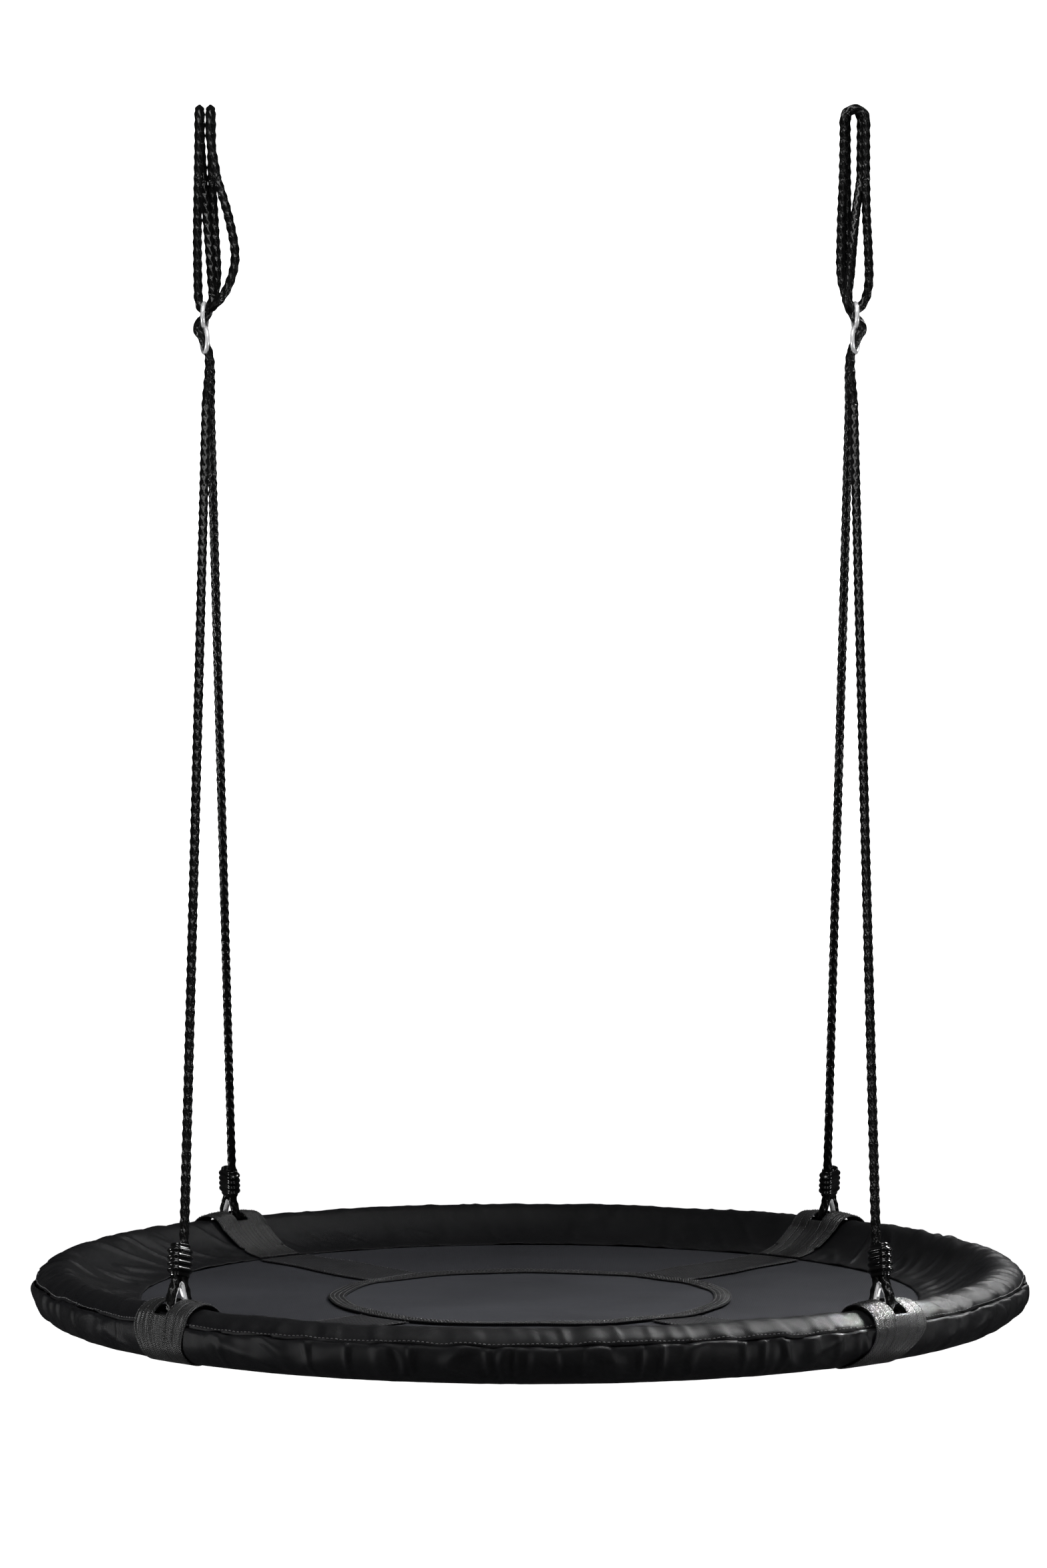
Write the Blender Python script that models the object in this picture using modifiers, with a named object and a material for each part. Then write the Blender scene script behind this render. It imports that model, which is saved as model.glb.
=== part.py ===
# Two-rope nest swing: a padded steel hoop with a fabric seat, hung on two
# doubled ropes that each split into a front and a back leg.
# Frame: metres, +Z up, +X to the right, +Y to the back.  The origin lies
# midway between the two points where the rope loops hang.

import math

import bmesh
import bpy
from mathutils import Matrix, Vector

# ---------------------------------------------------------------- dimensions
SEAT_Z = -1.410            # middle of the hoop below the hang line
HOOP_R = 0.569             # hoop tube centre line radius
TUBE_R = 0.0127            # steel tube outer radius
TUBE_WALL = 0.0015
PAD_R = 0.031              # padded rim section radius
FOAM_R = 0.0262
FOAM_BORE = 0.0135
COVER_T = 0.0012           # cover fabric thickness
SEAM_DEG = 27.0            # seam between top panel and side wall
MAT_R = 0.478              # sewn edge of the seat mat
MAT_T = 0.0025
MAT_SAG = 0.008
PATCH_R = 0.241            # centre panel
BIND_IN, BIND_OUT = 0.2235, 0.2445
WEB_T = 0.0016             # webbing thickness
RADIAL_W = 0.080           # width of the webbing bands on the mat
STRAP_HALF = 0.040         # half width of the anchor straps
SLIT_HALF = 0.0085
STRAP_ARCH = 0.0064        # lift of the strap over the staple
ANCHOR_DEG = 46.4          # azimuth of the anchors from the X axis
ROPE_R = 0.005
STRAND = 0.0052            # half the spacing of two strands side by side
HOOK_BEND = 0.013          # bend radius of the rope over the hook
YOKE_Z = -0.300            # where the legs start, just below the adjusters
RING_Z = -0.252            # middle of the adjuster ring
RING_WIRE = 0.00275
RING_R = 0.0146
STAPLE_WIRE = 0.0025
STAPLE_R = 0.015
PIN_H = 0.0335             # staple crown above the hoop centre line
EYE_R = 0.0128             # rope bend radius in the eye
CLAMP_LO, CLAMP_HI = 0.031, 0.068
GAP = 0.0003

HANG_X = HOOP_R * math.cos(math.radians(ANCHOR_DEG))

# --------------------------------------------------------------- scene setup
for ob in list(bpy.data.objects):
    bpy.data.objects.remove(ob, do_unlink=True)
for coll in list(bpy.data.collections):
    bpy.data.collections.remove(coll)
parts = bpy.data.collections.new("nest_swing")
cutters = bpy.data.collections.new("cutters")
bpy.context.scene.collection.children.link(parts)
bpy.context.scene.collection.children.link(cutters)


def material(name, colour, rough, metal=0.0):
    mat = bpy.data.materials.new(name)
    mat.use_nodes = True
    bsdf = mat.node_tree.nodes["Principled BSDF"]
    bsdf.inputs["Base Color"].default_value = (*colour, 1.0)
    bsdf.inputs["Roughness"].default_value = rough
    bsdf.inputs["Metallic"].default_value = metal
    return mat


MAT = {
    "rope": material("black_braided_rope", (0.012, 0.012, 0.013), 0.45),
    "steel": material("galvanised_steel", (0.72, 0.72, 0.73), 0.25, 1.0),
    "tube": material("frame_steel", (0.45, 0.46, 0.47), 0.35, 1.0),
    "foam": material("black_foam", (0.03, 0.03, 0.03), 0.9),
    "cover": material("black_coated_fabric", (0.018, 0.018, 0.019), 0.5),
    "mat": material("grey_black_mesh_fabric", (0.035, 0.035, 0.037), 0.6),
    "web": material("black_webbing", (0.02, 0.02, 0.021), 0.65),
    "plastic": material("black_moulded_plastic", (0.014, 0.014, 0.015), 0.35),
}


def empty(name, loc):
    ob = bpy.data.objects.new(name, None)
    ob.location = loc
    parts.objects.link(ob)
    return ob


def add(ob, mat, parent=None):
    parts.objects.link(ob)
    ob.data.materials.append(MAT[mat])
    if parent is not None:
        bpy.context.view_layer.update()
        world = ob.matrix_world.copy()
        ob.parent = parent
        ob.matrix_parent_inverse = parent.matrix_world.inverted()
        ob.matrix_world = world
    return ob


def smooth(ob, angle=0.7):
    ob.data.shade_smooth()
    ob.data.set_sharp_from_angle(angle=angle)


def curve_mesh(name, splines, radius, sides_res=2, caps=True, dims="3D",
               extrude=0.0, fill="FULL"):
    """Evaluate a curve and return a clean welded mesh."""
    cu = bpy.data.curves.new(name + "_path", "CURVE")
    cu.dimensions = dims
    cu.bevel_depth = radius
    cu.bevel_resolution = sides_res
    cu.use_fill_caps = caps
    cu.extrude = extrude
    cu.fill_mode = fill
    cu.render_resolution_u = 0
    cu.twist_mode = "MINIMUM"
    for pts, cyclic in splines:
        sp = cu.splines.new("POLY")
        sp.points.add(len(pts) - 1)
        for p, q in zip(sp.points, pts):
            p.co = (*q, 1.0) if len(q) == 3 else (*q, 0.0, 1.0)
        sp.use_cyclic_u = cyclic
    tmp = bpy.data.objects.new(name + "_tmp", cu)
    bpy.context.scene.collection.objects.link(tmp)
    dg = bpy.context.evaluated_depsgraph_get()
    me = bpy.data.meshes.new_from_object(tmp.evaluated_get(dg))
    bpy.data.objects.remove(tmp, do_unlink=True)
    bpy.data.curves.remove(cu)
    bm = bmesh.new()
    bm.from_mesh(me)
    bmesh.ops.remove_doubles(bm, verts=bm.verts, dist=1e-6)
    bmesh.ops.recalc_face_normals(bm, faces=bm.faces)
    bm.to_mesh(me)
    bm.free()
    me.name = name
    return me


def tube(name, pts, radius, mat, parent=None, res=2, cyclic=False, caps=True):
    me = curve_mesh(name, [(pts, cyclic)], radius, res, caps)
    ob = bpy.data.objects.new(name, me)
    add(ob, mat, parent)
    smooth(ob, 0.9)
    return ob


def solidify(ob, thickness, offset=-1.0):
    md = ob.modifiers.new("wall", "SOLIDIFY")
    md.thickness = thickness
    md.offset = offset
    md.use_even_offset = True
    md.use_rim = True
    return md


def hoop_point(deg, r=HOOP_R, z=0.0):
    a = math.radians(deg)
    return Vector((r * math.cos(a), r * math.sin(a), SEAT_Z + z))


def arc(deg0, deg1, n, r=HOOP_R, z=0.0):
    return [hoop_point(deg0 + (deg1 - deg0) * i / n, r, z) for i in range(n + 1)]


def smoothstep(t):
    t = min(max(t, 0.0), 1.0)
    return t * t * (3.0 - 2.0 * t)


# ------------------------------------------------------------ body reference
root_e = empty("hang_axis", (0, 0, 0))
seat_e = empty("seat_pivot", (-HANG_X, 0, SEAT_Z + PIN_H))
bpy.context.view_layer.update()

# -------------------------------------------------------------- steel hoop
QUARTERS = (("front_right", 270.0), ("back_right", 0.0),
            ("back_left", 90.0), ("front_left", 180.0))
gap_deg = math.degrees(0.0011 / HOOP_R)
for quarter, start in QUARTERS:
    me = curve_mesh("frame_tube_" + quarter,
                    [(arc(start + gap_deg, start + 90 - gap_deg, 14), False)],
                    TUBE_R, 2, caps=False)
    ob = bpy.data.objects.new("frame_tube_" + quarter, me)
    add(ob, "tube", seat_e)
    solidify(ob, TUBE_WALL)
    smooth(ob, 0.9)
    half = math.degrees(0.045 / HOOP_R)
    tube("frame_spigot_" + quarter, arc(start - half, start + half, 4),
         (TUBE_R - TUBE_WALL) * 0.92 - 0.0004, "tube", seat_e, 2)

# -------------------------------------------------------------- foam sleeves
ANCHORS = {
    "back_right": ANCHOR_DEG,
    "back_left": 180.0 - ANCHOR_DEG,
    "front_left": 180.0 + ANCHOR_DEG,
    "front_right": 360.0 - ANCHOR_DEG,
}
clear = math.degrees(0.046 / HOOP_R)
FOAM = (("back", "back_right", "back_left"), ("left", "back_left", "front_left"),
        ("front", "front_left", "front_right"))
foam_runs = [(n, ANCHORS[a] + clear, ANCHORS[b] - clear) for n, a, b in FOAM]
foam_runs.append(("right", ANCHORS["front_right"] - 360 + clear,
                  ANCHORS["back_right"] - clear))
for name, d0, d1 in foam_runs:
    me = curve_mesh("foam_sleeve_" + name, [(arc(d0, d1, 12), False)],
                    FOAM_R, 2, caps=False)
    ob = bpy.data.objects.new("foam_sleeve_" + name, me)
    add(ob, "foam", seat_e)
    solidify(ob, FOAM_R - FOAM_BORE - 0.0015)
    smooth(ob, 0.9)


# ------------------------------------------------------------- fabric shells
def pad_point(deg, r=PAD_R):
    a = math.radians(deg)
    return (HOOP_R + r * math.cos(a), r * math.sin(a))


def mat_z(r, up=0.0):
    return -0.0125 - MAT_SAG * (1.0 - (r / MAT_R) ** 2) + up


def top_profile(extra=0.0):
    """Top panel, from the rim seam over the pad to the inner seam."""
    pts = [pad_point(a, PAD_R + extra) for a in (SEAM_DEG, 45, 63, 81, 98, 114, 130)]
    r0, z0 = pts[-1]
    r1, z1 = 0.470, mat_z(0.470, 0.0022 + extra)
    for t in (0.18, 0.40, 0.66, 1.0):
        fall = 1.0 - (1.0 - t) ** 1.9
        pts.append((r0 + (r1 - r0) * t, z0 + (z1 - z0) * fall))
    return pts


def wall_profile():
    """Side wall, from the rim seam round the outside to under the mat."""
    pts = [pad_point(a) for a in (SEAM_DEG - 1.2, 15, 2, -13, -31, -50, -70, -92, -116)]
    pts += [(0.535, -0.0225), (0.505, -0.0190), (0.470, mat_z(0.470, -MAT_T - 0.0026))]
    return pts


SLOT = math.degrees(0.0155 / HOOP_R)
stations = []
for i in range(36):
    stations.append(i * 360.0 / 36)
for a in ANCHORS.values():
    stations = [s for s in stations
                if abs((s - a + 180) % 360 - 180) > 2.2 * SLOT]
    stations += [a - SLOT, a + SLOT]
stations.sort()


def turned(name, profile, mat, hole=None):
    """Open turned surface with slots, given thickness by Solidify."""
    me = bpy.data.meshes.new(name)
    bm = bmesh.new()
    rings = [[bm.verts.new(hoop_point(s, r, z)) for r, z in profile] for s in stations]
    n = len(stations)
    for i in range(n):
        mid = (stations[i] + ((stations[(i + 1) % n] - stations[i]) % 360) / 2) % 360
        slot = any(abs((mid - a + 180) % 360 - 180) < SLOT * 0.6 for a in ANCHORS.values())
        for j in range(len(profile) - 1):
            if hole and slot and hole[0] <= j < hole[1]:
                continue
            a, b = rings[i], rings[(i + 1) % n]
            bm.faces.new((a[j], a[j + 1], b[j + 1], b[j]))
    bm.normal_update()
    bm.faces.ensure_lookup_table()
    # faces point away from the rim's centre line
    f = bm.faces[0]
    c = f.calc_center_median()
    deg = math.degrees(math.atan2(c.y, c.x))
    if f.normal.dot(c - hoop_point(deg)) < 0:
        bmesh.ops.reverse_faces(bm, faces=bm.faces)
    bm.to_mesh(me)
    bm.free()
    ob = bpy.data.objects.new(name, me)
    add(ob, mat, seat_e)
    solidify(ob, COVER_T)
    smooth(ob, 1.0)
    return ob


turned("rim_cover_top", top_profile(), "cover", hole=(1, 6))
turned("rim_cover_wall", wall_profile(), "cover")


def screw_disc(name, profile, mat, steps=40):
    """Closed turned shape from a profile in the XZ plane."""
    me = bpy.data.meshes.new(name)
    bm = bmesh.new()
    vs = [bm.verts.new((r, 0, SEAT_Z + z)) for r, z in profile]
    closed = profile[0][0] > 1e-6
    for a, b in zip(vs, vs[1:]):
        bm.edges.new((a, b))
    if closed:
        bm.edges.new((vs[-1], vs[0]))
    bm.to_mesh(me)
    bm.free()
    ob = bpy.data.objects.new(name, me)
    add(ob, mat, seat_e)
    md = ob.modifiers.new("turn", "SCREW")
    md.angle = 2 * math.pi
    md.steps = steps
    md.render_steps = steps
    md.use_merge_vertices = True
    md.merge_threshold = 0.00005
    md.use_normal_calculate = True
    smooth(ob, 0.6)
    return ob


radii = [0.0, 0.10, 0.20, 0.29, 0.38, 0.45, MAT_R]
screw_disc("seat_mat", [(r, mat_z(r)) for r in radii]
           + [(r, mat_z(r, -MAT_T)) for r in reversed(radii)], "mat")
radii = [0.0, 0.08, 0.16, PATCH_R]
screw_disc("centre_panel", [(r, mat_z(r, GAP + 0.0013)) for r in radii]
           + [(r, mat_z(r, GAP)) for r in reversed(radii)], "cover")
lift = 2 * GAP + 0.0015
screw_disc("centre_binding", [(BIND_OUT, mat_z(BIND_OUT, lift + WEB_T)),
                              (BIND_OUT, mat_z(BIND_OUT, lift)),
                              (BIND_IN, mat_z(BIND_IN, lift)),
                              (BIND_IN, mat_z(BIND_IN, lift + WEB_T))], "web")


def sheet(name, grid, mat, thickness, holes=()):
    """Open grid surface with Solidify; holes are skipped (row, column) cells."""
    me = bpy.data.meshes.new(name)
    bm = bmesh.new()
    vs = [[bm.verts.new(p) for p in row] for row in grid]
    for i in range(len(grid) - 1):
        for j in range(len(grid[0]) - 1):
            if (i, j) in holes:
                continue
            bm.faces.new((vs[i][j], vs[i + 1][j], vs[i + 1][j + 1], vs[i][j + 1]))
    bm.normal_update()
    bm.to_mesh(me)
    bm.free()
    ob = bpy.data.objects.new(name, me)
    add(ob, mat, seat_e)
    solidify(ob, thickness, 1.0)
    return ob


# webbing bands on the mat, from the centre binding to the inner seam
for name, deg in ANCHORS.items():
    a = math.radians(deg)
    rad = Vector((math.cos(a), math.sin(a), 0))
    tan = Vector((-math.sin(a), math.cos(a), 0))
    grid = []
    for i in range(6):
        r = 0.250 + (0.462 - 0.250) * i / 5
        row = []
        for t in (-RADIAL_W / 2, RADIAL_W / 2):
            p = rad * r + tan * t
            p.z = SEAT_Z + mat_z(Vector((p.x, p.y)).length, 0.0006)
            row.append(p)
        grid.append(row)
    sheet("radial_strap_" + name, grid, "web", WEB_T)

def strap_arch(deg):
    """Share of the full lift of a strap where it bridges the staple."""
    return smoothstep((deg - 12) / 40) * smoothstep((168 - deg) / 40)


# anchor straps, wrapped over the rim, with a slit for the rope eye
for name, deg in ANCHORS.items():
    # up the inner slope, lifting off the cover towards the crown
    inner = top_profile()
    path = [(r, z + lift) for (r, z), lift in
            zip((inner[9], inner[8], inner[7]), (0.0026, 0.0034, 0.0048))]
    path += [pad_point(x, PAD_R + 0.0009 + STRAP_ARCH * strap_arch(x)) for x in
             (135, 122, 106, 90, 74, 58, 45, 28, 10, -10, -30, -50, -70, -92)]
    cols = (-STRAP_HALF, -SLIT_HALF, SLIT_HALF, STRAP_HALF)
    grid = []
    for r, z in path:
        grid.append([hoop_point(deg + math.degrees(t / HOOP_R), r, z) for t in cols])
    holes = {(i, 1) for i in range(3, 9)}
    sheet("anchor_strap_" + name, grid, "web", WEB_T, holes)

# ------------------------------------------------ ropes, clamps and fittings
def rope(name, pts, parent=None, res=2):
    return tube(name, pts, ROPE_R, "rope", parent, res)


def eye_half(h):
    """Half spacing of the two strands of the eye at height h over its pin."""
    return STRAND + (EYE_R - STRAND) * (1.0 - smoothstep(h / CLAMP_LO))


def outline(pts_list, extrude, name, matrix, mat, parent):
    me = curve_mesh(name, [(p, True) for p in pts_list], 0.0, 0, False, "2D",
                    extrude, "BOTH")
    ob = bpy.data.objects.new(name, me)
    ob.matrix_world = matrix
    add(ob, mat, parent)
    smooth(ob, 0.6)
    return ob


def stadium(half, r, n=6):
    pts = [(half + r * math.cos(a), r * math.sin(a))
           for a in (-math.pi / 2 + math.pi * i / n for i in range(n + 1))]
    pts += [(-half + r * math.cos(a), r * math.sin(a))
            for a in (math.pi / 2 + math.pi * i / n for i in range(n + 1))]
    return pts


def teardrop(inset, apex, n=10):
    pts = []
    for i in range(n + 1):
        a = math.pi + math.pi * i / n
        pts.append(((EYE_R - inset) * math.cos(a), (EYE_R - inset) * math.sin(a)))
    side = [(eye_half(apex * k / 4) - inset, apex * k / 4) for k in range(1, 5)]
    pts += side
    pts += [(-x, y) for x, y in reversed(side)]
    return pts


def axes(ex, ey, ez, origin):
    m = Matrix.Identity(4)
    for i, v in enumerate((ex, ey, ez, origin)):
        m[0][i], m[1][i], m[2][i] = v
    return m


for side, sx in (("left", -1.0), ("right", 1.0)):
    hx = sx * HANG_X
    loop_e = empty(side + "_sway_pivot", (hx, 0, YOKE_Z))
    slide_e = empty(side + "_adjuster_origin", (hx, -HOOK_BEND, RING_Z))
    bpy.context.view_layer.update()

    # bights over the hook, and the strands below them
    for k, dx in (("1", -STRAND), ("2", STRAND)):
        pts = [Vector((hx + dx, -HOOK_BEND * math.cos(a), HOOK_BEND * math.sin(a)))
               for a in (math.pi * i / 12 for i in range(13))]
        rope("%s_hook_bight_%s" % (side, k), pts, root_e)
        # standing strand at the back, easing forward to the yoke
        pts = []
        z0, z1 = -0.0014, YOKE_Z + 0.0026
        for i in range(15):
            z = z0 + (z1 - z0) * i / 14
            y = HOOK_BEND - (HOOK_BEND - 0.0065) * smoothstep((-z - 0.262) / 0.038)
            pts.append(Vector((hx + dx, y, z)))
        rope("%s_standing_strand_%s" % (side, k), pts, root_e)
        # return strand at the front, down to the bight in the adjuster
        zb = RING_Z + 0.045
        pts = [Vector((hx + dx + math.copysign(0.0035, dx) * smoothstep(i / 6), -HOOK_BEND,
                       -0.0014 + (zb + 0.0014) * i / 6)) for i in range(7)]
        rope("%s_return_strand_%s" % (side, k), pts, root_e)

    # bight of the return strands, through the upper loop of the adjuster
    zb = RING_Z + 0.045 - GAP
    w = STRAND + 0.0035
    zc = RING_Z + 2 * RING_R - RING_WIRE - 0.0012
    pts = [Vector((hx - w, -HOOK_BEND, zb)), Vector((hx - w, -HOOK_BEND, (zb + zc) / 2))]
    pts += [Vector((hx - w * math.cos(a), -HOOK_BEND, zc - w * 0.9 * math.sin(a) + 0.0))
            for a in (math.pi * i / 10 for i in range(11))]
    pts += [Vector((hx + w, -HOOK_BEND, (zb + zc) / 2)), Vector((hx + w, -HOOK_BEND, zb))]
    rope(side + "_return_bight", pts, slide_e)

    # adjuster: two wire loops joined crosswise into a figure of eight
    loops = []
    for k, up, turn in (("a", 1.0, 0.10 * sx), ("b", -1.0, -0.30 * sx)):
        pts = [Vector((0, RING_R * math.cos(a), RING_R * math.sin(a) * 1.02 + up * RING_R))
               for a in (2 * math.pi * i / 20 for i in range(20))]
        rot = Matrix.Rotation(turn, 3, "Z")
        me = curve_mesh(side + "_loop_" + k, [([rot @ p for p in pts], True)],
                        RING_WIRE, 2, False)
        ob = bpy.data.objects.new(side + "_ring_" + k, me)
        ob.location = (hx, -HOOK_BEND, RING_Z)
        loops.append(ob)
    body, tool = loops
    body.name = side + "_adjuster_ring"
    add(body, "steel", slide_e)
    cutters.objects.link(tool)
    tool.hide_render = True
    tool.display_type = "WIRE"
    md = body.modifiers.new("join", "BOOLEAN")
    md.operation = "UNION"
    md.solver = "EXACT"
    md.object = tool
    smooth(body, 0.9)

    # legs, each with a thimble eye on its anchor staple and a moulded clamp
    for end, dx in (("front", -STRAND), ("back", STRAND)):
        name = end + "_" + side
        deg = ANCHORS[name]
        pin = hoop_point(deg, HOOP_R, PIN_H)
        top = Vector((hx + dx, 0.0065, YOKE_Z))
        a = math.radians(deg)
        rad = Vector((math.cos(a), math.sin(a), 0))
        u = (top - pin).normalized()
        er = (rad - u * rad.dot(u)).normalized()
        et = u.cross(er)

        def at(x, h):
            return pin + er * x + u * h

        inner = -1.0
        pts = [at(-inner * STRAND, CLAMP_HI - 0.003), at(-inner * STRAND, CLAMP_LO)]
        for i in range(1, 6):
            h = CLAMP_LO * (1 - i / 6)
            pts.append(at(-inner * eye_half(h), h))
        for i in range(9):
            b = math.pi * i / 8
            pts.append(at(-inner * EYE_R * math.cos(b), -EYE_R * math.sin(b)))
        for i in range(1, 6):
            h = CLAMP_LO * i / 6
            pts.append(at(inner * eye_half(h), h))
        pts += [at(inner * STRAND, CLAMP_LO), at(inner * STRAND, CLAMP_HI + 0.004)]
        start = pts[-1]
        # straight up to the yoke below the adjuster
        n = 4
        for i in range(1, n + 1):
            pts.append(start.lerp(top, i / n))
        rope(end + "_" + side + "_leg", pts, loop_e)

        me_frame = axes(er, et, u, pin + u * (CLAMP_LO + CLAMP_HI) / 2)
        outline([stadium(0.0060, 0.0095), stadium(0.0054, 0.0055)],
                (CLAMP_HI - CLAMP_LO) / 2 - 0.0005, name + "_rope_clamp", me_frame,
                "plastic", loop_e)
        outline([teardrop(ROPE_R + 0.00035, 0.022), teardrop(ROPE_R + 0.00135, 0.0185)],
                0.0038, name + "_thimble", axes(er, u, er.cross(u), pin), "steel", loop_e)

        # staple on top of the hoop tube, along the tube
        tan = Vector((-math.sin(a), math.cos(a), 0))
        base = hoop_point(deg, HOOP_R, 0.0)
        zc = PIN_H - STAPLE_R
        pts = [base + tan * -STAPLE_R + Vector((0, 0, TUBE_R + 0.0006))]
        for i in range(13):
            b = math.pi * i / 12
            pts.append(base - tan * STAPLE_R * math.cos(b)
                       + Vector((0, 0, zc + STAPLE_R * math.sin(b))))
        pts.append(base + tan * STAPLE_R + Vector((0, 0, TUBE_R + 0.0006)))
        tube("anchor_staple_" + name, pts, STAPLE_WIRE, "steel", seat_e, 2)
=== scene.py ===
# Looks of the nest swing: braided ropes, gathered rim cover, woven mat,
# webbing with stitching, moulded clamps and bright wire fittings.
import math

import bmesh
import bpy
import numpy as np
from mathutils import Matrix, Vector, noise


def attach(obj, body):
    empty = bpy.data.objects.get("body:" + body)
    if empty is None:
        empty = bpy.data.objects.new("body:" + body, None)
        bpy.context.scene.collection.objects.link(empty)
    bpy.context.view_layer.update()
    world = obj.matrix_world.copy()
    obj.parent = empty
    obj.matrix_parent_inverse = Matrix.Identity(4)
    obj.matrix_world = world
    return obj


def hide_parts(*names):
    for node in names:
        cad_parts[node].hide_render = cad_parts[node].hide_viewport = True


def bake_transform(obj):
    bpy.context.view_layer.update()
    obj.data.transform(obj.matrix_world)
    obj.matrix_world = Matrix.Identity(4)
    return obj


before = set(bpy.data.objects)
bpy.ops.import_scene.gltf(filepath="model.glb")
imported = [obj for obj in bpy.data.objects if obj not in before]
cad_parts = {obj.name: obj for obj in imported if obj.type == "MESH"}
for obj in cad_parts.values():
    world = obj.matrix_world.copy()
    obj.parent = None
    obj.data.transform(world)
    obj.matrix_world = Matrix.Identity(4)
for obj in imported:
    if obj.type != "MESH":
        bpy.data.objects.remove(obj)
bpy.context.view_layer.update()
scene = bpy.context.scene
scene.view_settings.view_transform = "Standard"

# ------------------------------------------------------------- shared sizes
SEAT_Z = -1.410
HOOP_R = 0.569
PAD_R = 0.031
SEAM_DEG = 38.0
MAT_R = 0.478
MAT_SAG = 0.008
PATCH_R = 0.241
BIND_IN, BIND_OUT = 0.2235, 0.2445
ANCHOR_DEG = 46.4
ROPE_R = 0.005
STRAND = 0.0052
HOOK_BEND = 0.013
YOKE_Z = -0.300
RING_Z = -0.252
PIN_H = 0.0335
EYE_R = 0.0128
CLAMP_LO, CLAMP_HI = 0.031, 0.068
HANG_X = HOOP_R * math.cos(math.radians(ANCHOR_DEG))
ANCHORS = {
    "back_right": ANCHOR_DEG,
    "back_left": 180.0 - ANCHOR_DEG,
    "front_left": 180.0 + ANCHOR_DEG,
    "front_right": 360.0 - ANCHOR_DEG,
}


def clamp01(x):
    return min(max(x, 0.0), 1.0)


def sstep(x):
    x = clamp01(x)
    return x * x * (3 - 2 * x)


# ---------------------------------------------------------------- materials
def new_mat(name):
    m = bpy.data.materials.new(name)
    m.use_nodes = True
    nt = m.node_tree
    b = nt.nodes["Principled BSDF"]
    return m, nt, b


def node(nt, kind, **kw):
    n = nt.nodes.new(kind)
    for k, v in kw.items():
        if k in n.inputs:
            n.inputs[k].default_value = v
        else:
            setattr(n, k, v)
    return n


def math_node(nt, op, a, b=None, clamp=False):
    n = nt.nodes.new("ShaderNodeMath")
    n.operation = op
    n.use_clamp = clamp
    for i, v in enumerate((a, b)):
        if v is None:
            continue
        if hasattr(v, "links"):
            nt.links.new(v, n.inputs[i])
        else:
            n.inputs[i].default_value = v
    return n.outputs[0]


def ramp(nt, fac, stops):
    r = nt.nodes.new("ShaderNodeValToRGB")
    el = r.color_ramp.elements
    while len(el) < len(stops):
        el.new(0.5)
    for e, (p, c) in zip(el, stops):
        e.position = p
        e.color = (*c, 1) if len(c) == 3 else c
    nt.links.new(fac, r.inputs[0])
    return r.outputs[0]


def map_range(nt, val, a, b, c, d):
    n = nt.nodes.new("ShaderNodeMapRange")
    n.inputs[1].default_value = a
    n.inputs[2].default_value = b
    n.inputs[3].default_value = c
    n.inputs[4].default_value = d
    nt.links.new(val, n.inputs[0])
    return n.outputs[0]


def bump(nt, b, height, strength, dist, chain=None):
    n = nt.nodes.new("ShaderNodeBump")
    n.inputs["Strength"].default_value = strength
    n.inputs["Distance"].default_value = dist
    nt.links.new(height, n.inputs["Height"])
    if chain is not None:
        nt.links.new(chain, n.inputs["Normal"])
    nt.links.new(n.outputs[0], b.inputs["Normal"])
    return n.outputs[0]


def weave_height(nt, vec, pu, pv):
    """Plain weave: warp and weft thread crowns over a UV map in metres."""
    sep = nt.nodes.new("ShaderNodeSeparateXYZ")
    nt.links.new(vec, sep.inputs[0])
    su = math_node(nt, "SINE", math_node(nt, "MULTIPLY", sep.outputs[0], 2 * math.pi / pu))
    sv = math_node(nt, "SINE", math_node(nt, "MULTIPLY", sep.outputs[1], 2 * math.pi / pv))
    prod = math_node(nt, "MULTIPLY", su, sv)
    return prod, sep


def uv_vec(nt):
    n = nt.nodes.new("ShaderNodeUVMap")
    n.uv_map = "UVMap"
    return n.outputs[0]


def fabric(name, dark, light, rough, pu, pv, wscale=0.4, sheen=0.1, noise_scale=9.0,
           wdist=0.0004, spec=0.4):
    m, nt, b = new_mat(name)
    uv = uv_vec(nt)
    prod, sep = weave_height(nt, uv, pu, pv)
    co = nt.nodes.new("ShaderNodeTexCoord")
    n1 = node(nt, "ShaderNodeTexNoise", Scale=noise_scale, Detail=5.0, Roughness=0.6)
    nt.links.new(co.outputs["Object"], n1.inputs["Vector"])
    n2 = node(nt, "ShaderNodeTexNoise", Scale=420.0, Detail=2.0)
    nt.links.new(co.outputs["Object"], n2.inputs["Vector"])
    w01 = map_range(nt, prod, -1.0, 1.0, 0.0, 1.0)
    mixv = math_node(nt, "ADD", math_node(nt, "MULTIPLY", w01, 0.45),
                     math_node(nt, "MULTIPLY", n1.outputs[0], 0.55))
    mixv = math_node(nt, "ADD", mixv, math_node(nt, "MULTIPLY", n2.outputs[0], 0.12))
    col = ramp(nt, mixv, [(0.25, dark), (0.95, light)])
    nt.links.new(col, b.inputs["Base Color"])
    nt.links.new(map_range(nt, n1.outputs[0], 0.3, 0.75, rough - 0.06, rough + 0.08),
                 b.inputs["Roughness"])
    bump(nt, b, prod, wscale, wdist)
    b.inputs["Sheen Weight"].default_value = sheen
    b.inputs["Sheen Roughness"].default_value = 0.4
    b.inputs["Specular IOR Level"].default_value = spec
    return m


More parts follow.
